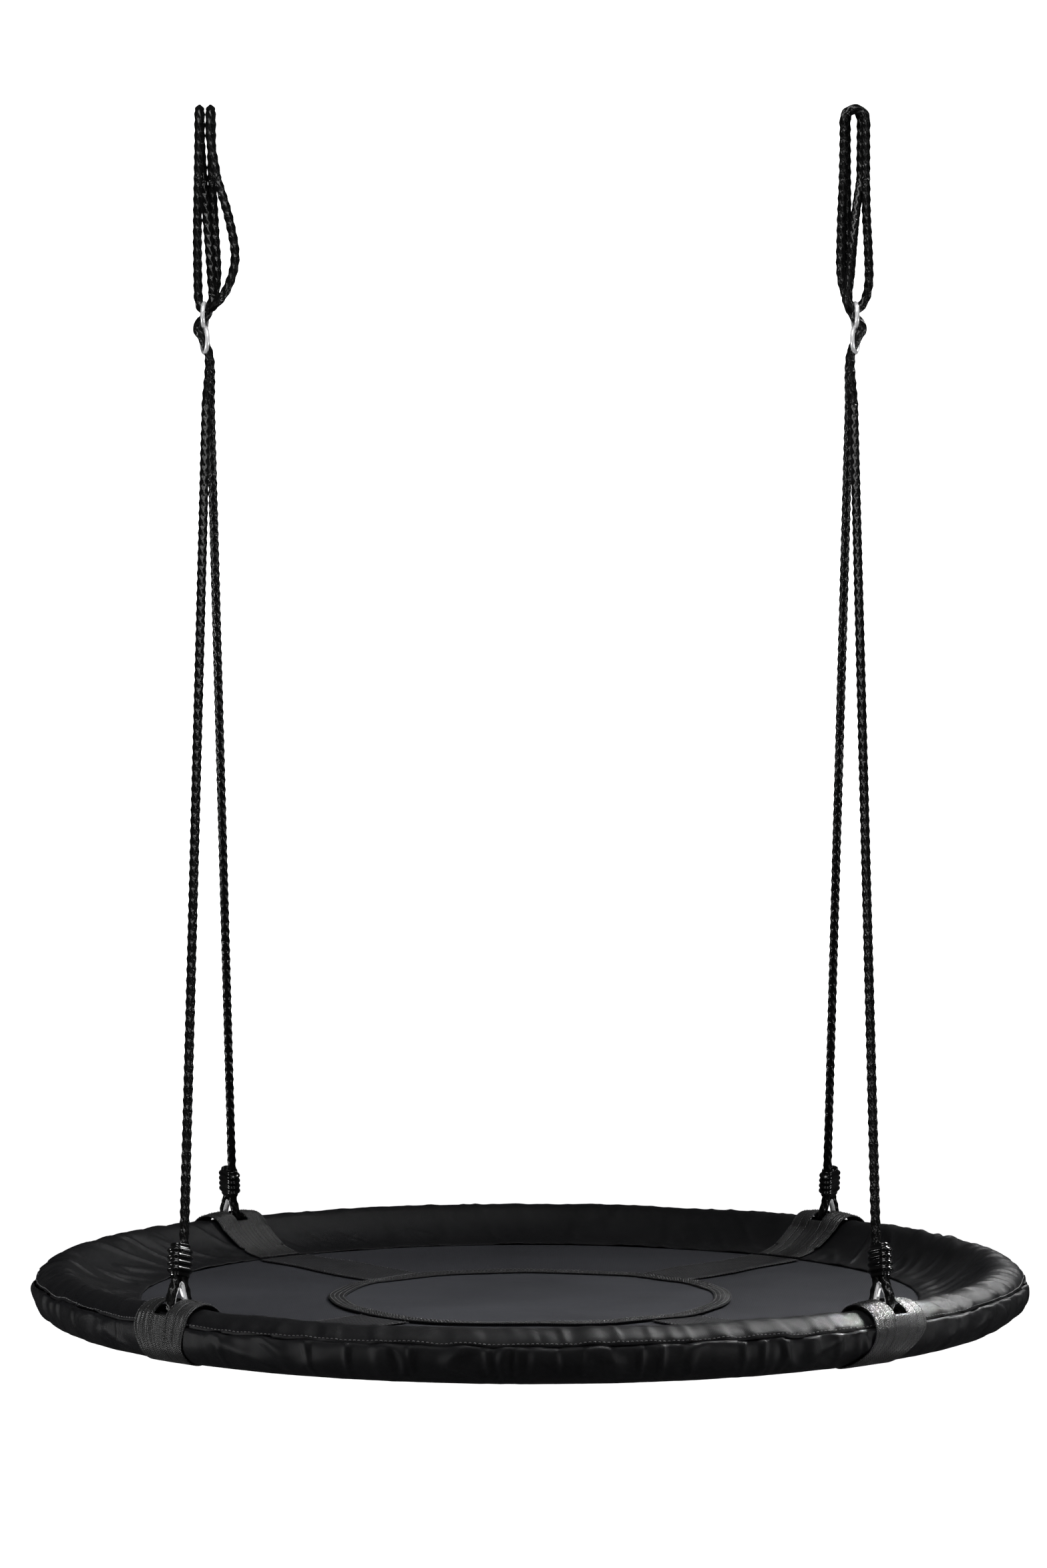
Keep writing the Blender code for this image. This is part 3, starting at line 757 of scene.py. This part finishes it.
def stitch_mesh(name, lines, mat, length=0.0034, pitch=0.0052, width=0.0012, body="seat"):
    """Rows of short raised stitches; a line is a list of (point, normal)."""
    verts, faces = [], []
    for line in lines:
        P = np.array([tuple(p) for p, _ in line])
        Nn = np.array([tuple(n) for _, n in line])
        d = np.concatenate([[0], np.cumsum(np.linalg.norm(np.diff(P, axis=0), axis=1))])
        count = int(d[-1] / pitch)
        for i in range(count):
            ss = (i + 0.5) * pitch + (d[-1] - count * pitch) / 2
            def pt(x):
                return np.array([np.interp(x, d, P[:, k]) for k in range(3)])
            c0, c1 = pt(ss - length / 2), pt(ss + length / 2)
            nn = np.array([np.interp(ss, d, Nn[:, k]) for k in range(3)])
            nn /= max(np.linalg.norm(nn), 1e-9)
            t = c1 - c0
            t /= max(np.linalg.norm(t), 1e-9)
            w = np.cross(nn, t) * width / 2
            base = len(verts)
            for f, up, ww in ((0.0, -0.2, 0.5), (0.25, 0.45, 1.0), (0.75, 0.45, 1.0), (1.0, -0.2, 0.5)):
                c = c0 * (1 - f) + c1 * f + nn * (width * up)
                verts.append(c - w * ww)
                verts.append(c + nn * width * 0.3 * (1 if 0 < f < 1 else 0))
                verts.append(c + w * ww)
            for j in range(3):
                a = base + j * 3
                faces.append((a, a + 3, a + 4, a + 1))
                faces.append((a + 1, a + 4, a + 5, a + 2))
                faces.append((a + 2, a + 5, a + 3, a))
            faces.append((base, base + 1, base + 2))
            faces.append((base + 11, base + 10, base + 9))
    ob = make(name, verts, faces, mat, np.array([(v[0], v[1]) for v in verts]))
    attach(ob, body)
    return ob


# -------------------------------------------------------- padded rim cover
SEAM_PTS = {}


def cover(name, profile, n_prof, kind):
    n_phi = 1440
    R, Z, q = smooth_profile(profile, n_prof)
    dR, dZ = np.gradient(R), np.gradient(Z)
    L = np.hypot(dR, dZ)
    nr, nz = -dZ / L, dR / L
    # outward: away from the middle of the tube
    flip = np.sign(np.median(nr * (R - HOOP_R) + nz * Z))
    nr, nz = nr * flip, nz * flip
    total = q[-1]
    reach = np.hypot(R - HOOP_R, Z)
    full = np.where((reach < PAD_R) & (R > 0.545), PAD_R - reach, 0.0)
    verts = np.zeros((n_phi, n_prof, 3))
    for i in range(n_phi):
        phi = 2 * math.pi * i / n_phi
        calm = near_anchor(phi, 0.085)
        ends = abs(math.cos(phi)) ** 3
        for j in range(n_prof):
            s = q[j]
            d = 0.0
            if kind == "top":
                seam, hem = s, total - s
                broad = ring_noise(phi + 0.05 * s / 0.1, s, 0.080, 0.20, 3.1)
                fold = crease(ring_noise(phi + 0.25 * s, s, 0.055, 0.14, 8.7), 0.30)
                fine = ring_noise(phi, s, 0.022, 0.05, 5.3)
                fan = crease(ring_noise(phi + 1.3 * (s - 0.04), s, 0.040, 0.10, 1.9), 0.22)
                e_seam = math.exp(-(seam / 0.020) ** 1.4)
                e_hem = math.exp(-(hem / 0.040) ** 1.3)
                gather = crease(ring_noise(phi + 0.35 * s, s, 0.030, 0.30, 4.4), 0.26)
                d -= 0.0011 + 0.0015 * broad
                d += 0.0016 * fold * (0.25 + 0.9 * e_seam + 0.5 * e_hem)
                d += 0.0019 * gather * math.exp(-(seam / 0.034) ** 2) * sstep(seam / 0.004)
                d += 0.0006 * fine * (0.2 + e_seam + 0.4 * e_hem)
                d += 0.0030 * fan * (0.12 + 0.88 * ends) * sstep(s / 0.015) * sstep(hem / 0.02)
                d -= 0.0014 * math.exp(-(seam / 0.0035) ** 2)
            else:
                broad = ring_noise(phi, s, 0.070, 0.22, 2.4)
                fold = crease(ring_noise(phi + 0.10 * noise.noise(Vector((s * 26, phi * 7, 0.3))),
                                         s, 0.046, 0.10, 6.6), 0.34)
                fine = ring_noise(phi, s, 0.017, 0.03, 9.2)
                e_seam = math.exp(-(s / 0.034) ** 1.5)
                pleat = crease(ring_noise(phi + 0.5 * s * noise.noise(Vector((phi * 9, 0.2, 0.7))),
                                          0.0, 0.034, 1.0, 12.3), 0.24)
                d -= 0.0012 + 0.0013 * broad
                d += 0.0046 * fold * (0.12 + 1.0 * e_seam)
                d += 0.0042 * pleat * math.exp(-(s / 0.030) ** 1.3) * sstep(s / 0.003)
                d += 0.0012 * fine * math.exp(-(s / 0.010) ** 1.5)
                d -= 0.0014 * math.exp(-(s / 0.0030) ** 2)
                d *= 1.0 - 0.8 * sstep((s - 0.034) / 0.026) - 0.2 * sstep((s - 0.085) / 0.03)
            pucker = 0.0028 * ring_noise(phi, 0.0, 0.046, 1.0, 7.7) * math.exp(-(s / 0.012) ** 2)
            pucker *= (1 - calm) * (1.0 if kind == "top" else -1.0)
            d = d * (1 - 0.75 * calm) - 0.0006 * calm
            top_d = 0.0024 if kind == "top" else 0.0042
            d = min(max(d, -0.0024), top_d * (1 - calm) + 0.0003 * calm) + full[j] * calm
            r = R[j] + nr[j] * d + dR[j] / L[j] * pucker
            z = Z[j] + nz[j] * d + dZ[j] / L[j] * pucker
            verts[i, j] = (r * math.cos(phi), r * math.sin(phi), SEAT_Z + z)
    faces = []
    pad_deg = np.degrees(np.arctan2(Z, R - HOOP_R))
    skip = set()
    if kind == "top":
        for i in range(n_phi):
            phi = 2 * math.pi * (i + 0.5) / n_phi
            for deg in ANCHORS.values():
                t = ((phi - math.radians(deg) + math.pi) % (2 * math.pi) - math.pi) * HOOP_R
                if abs(t) < 0.0150:
                    skip.add(i)
    for i in range(n_phi):
        k = (i + 1) % n_phi
        for j in range(n_prof - 1):
            if i in skip and 52 < pad_deg[j] < 128:
                continue
            faces.append((i * n_prof + j, k * n_prof + j, k * n_prof + j + 1, i * n_prof + j + 1))
    phis = np.repeat(np.arange(n_phi) * 2 * math.pi / n_phi * HOOP_R, n_prof)
    uv = np.stack([phis, np.tile(q, n_phi)], axis=1)
    ob = make(name, verts.reshape(-1, 3), faces, M_RIM, uv)
    bm = bmesh.new()
    bm.from_mesh(ob.data)
    bmesh.ops.recalc_face_normals(bm, faces=bm.faces)
    # face normals away from the padding
    bm.faces.ensure_lookup_table()
    f = max(bm.faces, key=lambda fc: fc.calc_center_median().z if kind == "top"
            else -fc.calc_center_median().z)
    want = 1.0 if kind == "top" else -1.0
    if f.normal.z * want < 0:
        bmesh.ops.reverse_faces(bm, faces=bm.faces)
    bmesh.ops.delete(bm, geom=[v for v in bm.verts if not v.link_faces], context="VERTS")
    bmesh.ops.solidify(bm, geom=list(bm.faces), thickness=0.0009)
    bm.to_mesh(ob.data)
    bm.free()
    ob.data.shade_smooth()
    SEAM_PTS[kind] = (verts, nr, nz, q)
    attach(ob, "seat")
    return ob


FOAM_R = 0.0262
FOAM_BORE = 0.0135
FOAM_CLEAR = math.degrees(0.046 / HOOP_R)


def foam_sleeve(name, d0, d1):
    """Slit foam tube round the hoop, with rounded ends and a soft skin."""
    n, sides = 150, 40
    verts, uv, faces = [], [], []
    span = math.radians(d1 - d0) * HOOP_R
    for i in range(n + 1):
        f = i / n
        end = min(f, 1 - f) * span
        squeeze = 0.0022 * (1 - sstep(end / 0.006)) + 0.0005
        for k in range(sides + 1):
            a = math.pi / 2 + 0.035 + (2 * math.pi - 0.07) * k / sides
            dim = 0.0006 * noise.noise(Vector((f * span * 22, math.cos(a) * 2.2, math.sin(a) * 2.2)))
            r = FOAM_R - squeeze - abs(dim)
            verts.append(hoop_pt(d0 + (d1 - d0) * f, HOOP_R + r * math.cos(a), r * math.sin(a)))
            uv.append((f * span, a * FOAM_R))
    for i in range(n):
        for k in range(sides):
            a = i * (sides + 1) + k
            faces.append((a, a + 1, a + sides + 2, a + sides + 1))
    ob = make(name, verts, faces, M_FOAM, np.array(uv))
    bm = bmesh.new()
    bm.from_mesh(ob.data)
    bmesh.ops.recalc_face_normals(bm, faces=bm.faces)
    bm.faces.ensure_lookup_table()
    f = max(bm.faces, key=lambda fc: abs(fc.calc_center_median().z - SEAT_Z))
    if f.normal.z * (f.calc_center_median().z - SEAT_Z) < 0:
        bmesh.ops.reverse_faces(bm, faces=bm.faces)
    bmesh.ops.solidify(bm, geom=list(bm.faces), thickness=FOAM_R - FOAM_BORE - 0.0016)
    bm.to_mesh(ob.data)
    bm.free()
    ob.data.shade_smooth()
    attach(ob, "seat")
    return ob


for run, a0, a1 in (("back", ANCHORS["back_right"], ANCHORS["back_left"]),
                    ("left", ANCHORS["back_left"], ANCHORS["front_left"]),
                    ("front", ANCHORS["front_left"], ANCHORS["front_right"]),
                    ("right", ANCHORS["front_right"] - 360.0, ANCHORS["back_right"])):
    ob = foam_sleeve("foam_sleeve_padding_" + run, a0 + FOAM_CLEAR, a1 - FOAM_CLEAR)
    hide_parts("foam_sleeve_" + run)

rim_top = cover("rim_cover_top_cloth", top_profile(), 44, "top")
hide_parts("rim_cover_top")
rim_wall = cover("rim_cover_wall_cloth", wall_profile(), 52, "wall")
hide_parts("rim_cover_wall")

lines = []
for kind, dist in (("top", 0.0042),):
    verts, nr, nz, q = SEAM_PTS[kind]
    j = int(np.argmin(np.abs(q - dist)))
    ln = []
    for i in range(0, verts.shape[0] + 1, 1):
        phi = 2 * math.pi * i / verts.shape[0]
        p = Vector(verts[i % verts.shape[0], j])
        ln.append((p, Vector((nr[j] * math.cos(phi), nr[j] * math.sin(phi), nz[j]))))
    lines.append(ln)
seam = stitch_mesh("rim_seam_stitches", lines, M_THREAD)

# --------------------------------------------------------------- mat and centre
def mat_wave(x, y):
    """Slack of the mat cloth: shallow ripples that die out at its sewn edge."""
    fade = sstep((0.462 - math.hypot(x, y)) / 0.10)
    w = 0.0042 * noise.noise(Vector((x * 3.0 + 2.0, y * 9.0, 7.3)))
    w += 0.0021 * noise.noise(Vector((x * 9.0, y * 14.0 + 5.0, 2.1)))
    return fade * w


def waved(p):
    return Vector((p.x, p.y, p.z + mat_wave(p.x, p.y)))


def disc(name, r_out, up, mat, n_phi=288, rings=64, thick=0.002, r_in=0.0, wav=0.0004, polar=False):
    verts, uv, faces = [], [], []
    radii = [r_in + (r_out - r_in) * i / rings for i in range(rings + 1)]
    if r_in == 0.0:
        radii[0] = 0.002
    for r in radii:
        for i in range(n_phi):
            phi = 2 * math.pi * i / n_phi
            x, y = r * math.cos(phi), r * math.sin(phi)
            w = wav * (noise.noise(Vector((x * 7, y * 7, 4.4))) - 0.6)
            w += 0.4 * wav * noise.noise(Vector((x * 30, y * 30, 1.4)))
            verts.append((x, y, SEAT_Z + mat_z(r, up) + w + mat_wave(x, y)))
            uv.append((r - (r_in + r_out) / 2, phi * (r_in + r_out) / 2) if polar else (x, y))
    for a in range(rings):
        for i in range(n_phi):
            k = (i + 1) % n_phi
            faces.append((a * n_phi + i, a * n_phi + k, (a + 1) * n_phi + k, (a + 1) * n_phi + i))
    if r_in == 0.0:
        faces.append(tuple(reversed(range(n_phi))))
    ob = make(name, verts, faces, mat, np.array(uv))
    bm = bmesh.new()
    bm.from_mesh(ob.data)
    bmesh.ops.recalc_face_normals(bm, faces=bm.faces)
    if sum(f.normal.z for f in bm.faces) < 0:
        bmesh.ops.reverse_faces(bm, faces=bm.faces)
    bmesh.ops.solidify(bm, geom=list(bm.faces), thickness=thick)
    bm.to_mesh(ob.data)
    bm.free()
    ob.data.shade_smooth()
    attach(ob, "seat")
    return ob


mat_ob = disc("seat_mat_cloth", MAT_R, -0.0001, M_MAT, thick=0.0024)
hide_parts("seat_mat")
panel = disc("centre_panel_cloth", PATCH_R, GAP + 0.0013, M_PANEL, rings=40,
             thick=0.0011, wav=0.0003)
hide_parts("centre_panel")
binding = disc("centre_binding_webbing", BIND_OUT, 2 * GAP + 0.0015 + WEB_T, M_BIND,
               rings=8, thick=0.0014, r_in=BIND_IN, wav=0.0002, polar=True)
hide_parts("centre_binding")
lines = []
for r in (0.2262, 0.2316, 0.2370, 0.2420):
    lines.append([(waved(Vector((r * math.cos(a), r * math.sin(a), SEAT_Z + mat_z(r, 2 * GAP + 0.0015 + WEB_T)))),
                   Vector((0, 0, 1))) for a in (2 * math.pi * i / 240 for i in range(241))])
bind_st = stitch_mesh("centre_binding_stitches", lines, M_THREAD)


# ------------------------------------------------------------------ webbing
def ribbon(name, path, deg, half, slits, mat, thick, n_cols=33, lean=None, sink=None, wave=False):
    """Webbing along a radial path of (r, z, half width share)."""
    verts, uv, faces = [], [], []
    ts = np.linspace(-half, half, n_cols)
    P = np.array([(p[0], p[1]) for p in path])
    d = np.concatenate([[0], np.cumsum(np.linalg.norm(np.diff(P, axis=0), axis=1))])
    for i, (r, z, sh) in enumerate(path):
        for t in ts:
            ds = sink(i, t) if sink else (0.0, 0.0)
            p = hoop_pt(deg + math.degrees((t * sh + (lean[i] if lean else 0.0)) / HOOP_R), r + ds[0], z + ds[1])
            p.z += 0.0003 * noise.noise(Vector((p.x * 40, p.y * 40, p.z * 40)))
            if wave:
                p = waved(p)
            verts.append(p)
            uv.append((t, d[i]))
    for i in range(len(path) - 1):
        for c in range(n_cols - 1):
            tm = (ts[c] + ts[c + 1]) / 2
            if slits(i, tm):
                continue
            a = i * n_cols + c
            faces.append((a, a + 1, a + 1 + n_cols, a + n_cols))
    ob = make(name, verts, faces, mat, np.array(uv))
    bm = bmesh.new()
    bm.from_mesh(ob.data)
    bmesh.ops.recalc_face_normals(bm, faces=bm.faces)
    top = max(bm.faces, key=lambda fc: fc.calc_center_median().z)
    if top.normal.z < 0:
        bmesh.ops.reverse_faces(bm, faces=bm.faces)
    bmesh.ops.delete(bm, geom=[v for v in bm.verts if not v.link_faces], context="VERTS")
    bmesh.ops.solidify(bm, geom=list(bm.faces), thickness=thick)
    bm.to_mesh(ob.data)
    bm.free()
    ob.data.shade_smooth()
    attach(ob, "seat")
    return ob


for name, deg in ANCHORS.items():
    # flat band on the mat
    path = [(0.250 + 0.212 * i / 30, mat_z(0.250 + 0.212 * i / 30, 0.0006 + WEB_T), 1.0) for i in range(31)]
    path = [(r, z, HOOP_R / r) for r, z, _ in path]
    ob = ribbon("radial_strap_webbing_" + name, path, deg, 0.040, lambda i, t: False, M_WEB, 0.0014,
                wave=True)
    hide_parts("radial_strap_" + name)
    lines = []
    for t in (-0.0368, 0.0368):
        lines.append([(waved(hoop_pt(deg + math.degrees(t / r), r, z)), Vector((0, 0, 1))) for r, z, _ in path])
    st = stitch_mesh("radial_strap_stitches_" + name, lines, M_THREAD)

    # wrap over the rim
    inner = top_profile()
    ctrl = [(r, z + lift + WEB_T) for (r, z), lift in
            zip((inner[10], inner[9], inner[8], inner[7]), (-0.0004, 0.0012, 0.0030, 0.0048))]
    arch = lambda x: sstep((x - 12) / 40) * sstep((168 - x) / 40)
    ctrl += [pad_point(x, PAD_R + 0.0009 + WEB_T + STRAP_ARCH * arch(x) - 0.0014 * sstep((20 - x) / 40))
             for x in (135, 122, 106, 90, 74, 58, 45, 28, 10, -10, -30, -50, -70, -92, -112)]
    ctrl += [(0.5385, -0.0252), (0.522, -0.0232)]
    R, Z, q = smooth_profile(ctrl, 110)
    pd = np.degrees(np.arctan2(Z, R - HOOP_R))
    path = [(R[i], Z[i], 1.0 - 0.15 * sstep((30 - pd[i]) / 60) * (R[i] > 0.50 and pd[i] < 100)) for i in range(len(R))]
    lean = [(-0.034 if name == "front_right" else 0.0) * sstep((28 - pd[i]) / 110) * (pd[i] < 100)
            for i in range(len(R))]
    lo, hi = 45.0, 135.0

    def sink(i, t):
        d = 0.50 * STRAP_ARCH * arch(pd[i]) * (abs(t) / STRAP_HALF) ** 2 if pd[i] < 150 else 0.0
        a = math.radians(pd[i])
        return (-d * math.cos(a), -d * math.sin(a))

    ob = ribbon("anchor_strap_webbing_" + name, path, deg, STRAP_HALF,
                lambda i, t: abs(t) < SLIT_HALF + 0.001 and lo < pd[i] < hi, M_STRAP, 0.0015, 41, lean, sink)
    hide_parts("anchor_strap_" + name)
    lines = []
    for t in (-0.0375, -0.0245, -0.0115, 0.0115, 0.0245, 0.0375):
        ln = []
        for i in range(len(R)):
            if pd[i] < 20 and R[i] > 0.51:
                continue
            a = math.radians(deg)
            if i < 3:
                continue
            tr, tz = R[i] - R[i - 1], Z[i] - Z[i - 1]
            nlen = math.hypot(tr, tz)
            n_r, n_z = tz / nlen, -tr / nlen
            if n_r * (R[i] - HOOP_R) + n_z * (Z[i] + 0.01) < 0:
                n_r, n_z = -n_r, -n_z
            ds = sink(i, t)
            ln.append((hoop_pt(deg + math.degrees(t / HOOP_R), R[i] + ds[0], Z[i] + ds[1]),
                       Vector((n_r * math.cos(a), n_r * math.sin(a), n_z))))
        lines.append(ln)
    st = stitch_mesh("anchor_strap_stitches_" + name, lines, M_THREAD)


# ------------------------------------------------ clamps, thimbles and rings
def stadium_pts(half, r, n=16):
    out = []
    for c, a0 in ((half, -90), (-half, 90)):
        for i in range(n + 1):
            a = math.radians(a0 + 180 * i / n)
            out.append((c + r * math.cos(a), r * math.sin(a)))
    return out


for side in ("left", "right"):
    sx = -1.0 if side == "left" else 1.0
    hx = sx * HANG_X
    for end in ("front", "back"):
        nm = end + "_" + side
        pin, top, er, et, u = anchor_axes(nm, side, end)

        # clamp: ribbed moulding round both strands
        rows = []
        n_h = 73
        for i in range(n_h):
            f = i / (n_h - 1)
            h = CLAMP_LO + (CLAMP_HI - CLAMP_LO) * f
            barrel = 0.80 + 0.20 * sstep(min(f, 1 - f) / 0.20)
            rib = 0.06 * math.cos(2 * math.pi * (f * 5.0)) * sstep(min(f, 1 - f) / 0.10)
            rows.append((h, barrel - 0.045 + rib))
        outer = stadium_pts(0.0062, 0.0096)
        inner_s = stadium_pts(0.0053, 0.0051)
        verts, faces = [], []
        n = len(outer)
        for h, sc in rows:
            for x, y in outer:
                # the ribs stand proud on the rounded sides
                verts.append(pin + er * (x * (0.98 if abs(sc) > 2 else sc)) + et * (y * sc) + u * h)
        for i in range(n_h - 1):
            for j in range(n):
                k = (j + 1) % n
                faces.append((i * n + j, i * n + k, (i + 1) * n + k, (i + 1) * n + j))
        b = len(verts)
        for h, flip in ((rows[0][0] + 0.0006, 1), (rows[-1][0] - 0.0006, 0)):
            for x, y in inner_s:
                verts.append(pin + er * x + et * y + u * h)
        for j in range(n):
            k = (j + 1) % n
            faces.append((j, b + j, b + k, k))
            top_row = (n_h - 1) * n
            faces.append((top_row + j, top_row + k, b + n + k, b + n + j))
            faces.append((b + j, b + n + j, b + n + k, b + k))
        ob = make(nm + "_clamp_moulding", verts, faces, M_PLASTIC,
                  np.array([(v.x, v.z) for v in verts]))
        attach(ob, side + "_legs")
        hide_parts(nm + "_rope_clamp")

        # thimble: grooved sheet-metal eye inside the rope
        loop = []
        ins = ROPE_R + 0.00035
        for i in range(61):
            a = math.pi * i / 60
            loop.append((-(EYE_R - ins) * math.cos(a), -(EYE_R - ins) * math.sin(a)))
        for i in range(1, 21):
            h = 0.0235 * i / 20
            loop.append((max(eye_half(h) - ins, 0.0012 * (1 - i / 20)), h))
        for i in range(19, 0, -1):
            h = 0.0235 * i / 20
            loop.append((-max(eye_half(h) - ins, 0.0012 * (1 - i / 20)), h))
        P = np.array(loop)
        T2 = np.roll(P, -1, axis=0) - np.roll(P, 1, axis=0)
        T2 /= np.linalg.norm(T2, axis=1)[:, None]
        N2 = np.stack([T2[:, 1], -T2[:, 0]], axis=1)
        sec = [(-0.0046, 0.0019), (-0.0038, 0.0006), (-0.0022, 0.0), (0.0, -0.0002),
               (0.0022, 0.0), (0.0038, 0.0006), (0.0046, 0.0019),
               (0.0042, 0.0009), (0.0022, -0.0010), (0.0, -0.0013), (-0.0022, -0.0010),
               (-0.0042, 0.0009)]
        verts, faces = [], []
        for i in range(len(P)):
            for w, o in sec:
                # the flanges flare over the rope
                p2 = P[i] + N2[i] * o
                verts.append(pin + er * p2[0] + u * p2[1] + et * w)
        ns = len(sec)
        for i in range(len(P)):
            k = (i + 1) % len(P)
            for j in range(ns):
                jj = (j + 1) % ns
                faces.append((i * ns + j, k * ns + j, k * ns + jj, i * ns + jj))
        ob = make(nm + "_thimble_wire", verts, faces, M_THIMBLE,
                  np.array([(v.x, v.z) for v in verts]))
        bm = bmesh.new()
        bm.from_mesh(ob.data)
        bmesh.ops.recalc_face_normals(bm, faces=bm.faces)
        bm.to_mesh(ob.data)
        bm.free()
        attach(ob, side + "_legs")
        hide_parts(nm + "_thimble")

    # adjuster: two round wire loops joined crosswise
    verts, faces = [], []
    for up, turn in ((1.0, 0.10 * sx), (-1.0, -0.30 * sx)):
        rot = Matrix.Rotation(turn, 3, "Z")
        n, m_s = 96, 18
        base = len(verts)
        for i in range(n):
            a = 2 * math.pi * i / n
            c = Vector((0, RING_R * math.cos(a), RING_R * math.sin(a) * 1.02 + up * RING_R))
            rad = Vector((0, math.cos(a), math.sin(a)))
            for j in range(m_s):
                b2 = 2 * math.pi * j / m_s
                p = c + (rad * math.cos(b2) + Vector((1, 0, 0)) * math.sin(b2)) * RING_WIRE
                verts.append(rot @ p + Vector((hx, -HOOK_BEND, RING_Z)))
        for i in range(n):
            k = (i + 1) % n
            for j in range(m_s):
                jj = (j + 1) % m_s
                faces.append((base + i * m_s + j, base + k * m_s + j, base + k * m_s + jj, base + i * m_s + jj))
    ob = make(side + "_adjuster_wire", verts, faces, M_STEEL, np.array([(v.y, v.z) for v in verts]))
    bm = bmesh.new()
    bm.from_mesh(ob.data)
    bmesh.ops.recalc_face_normals(bm, faces=bm.faces)
    bm.to_mesh(ob.data)
    bm.free()
    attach(ob, side + "_adjuster")
    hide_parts(side + "_adjuster_ring")
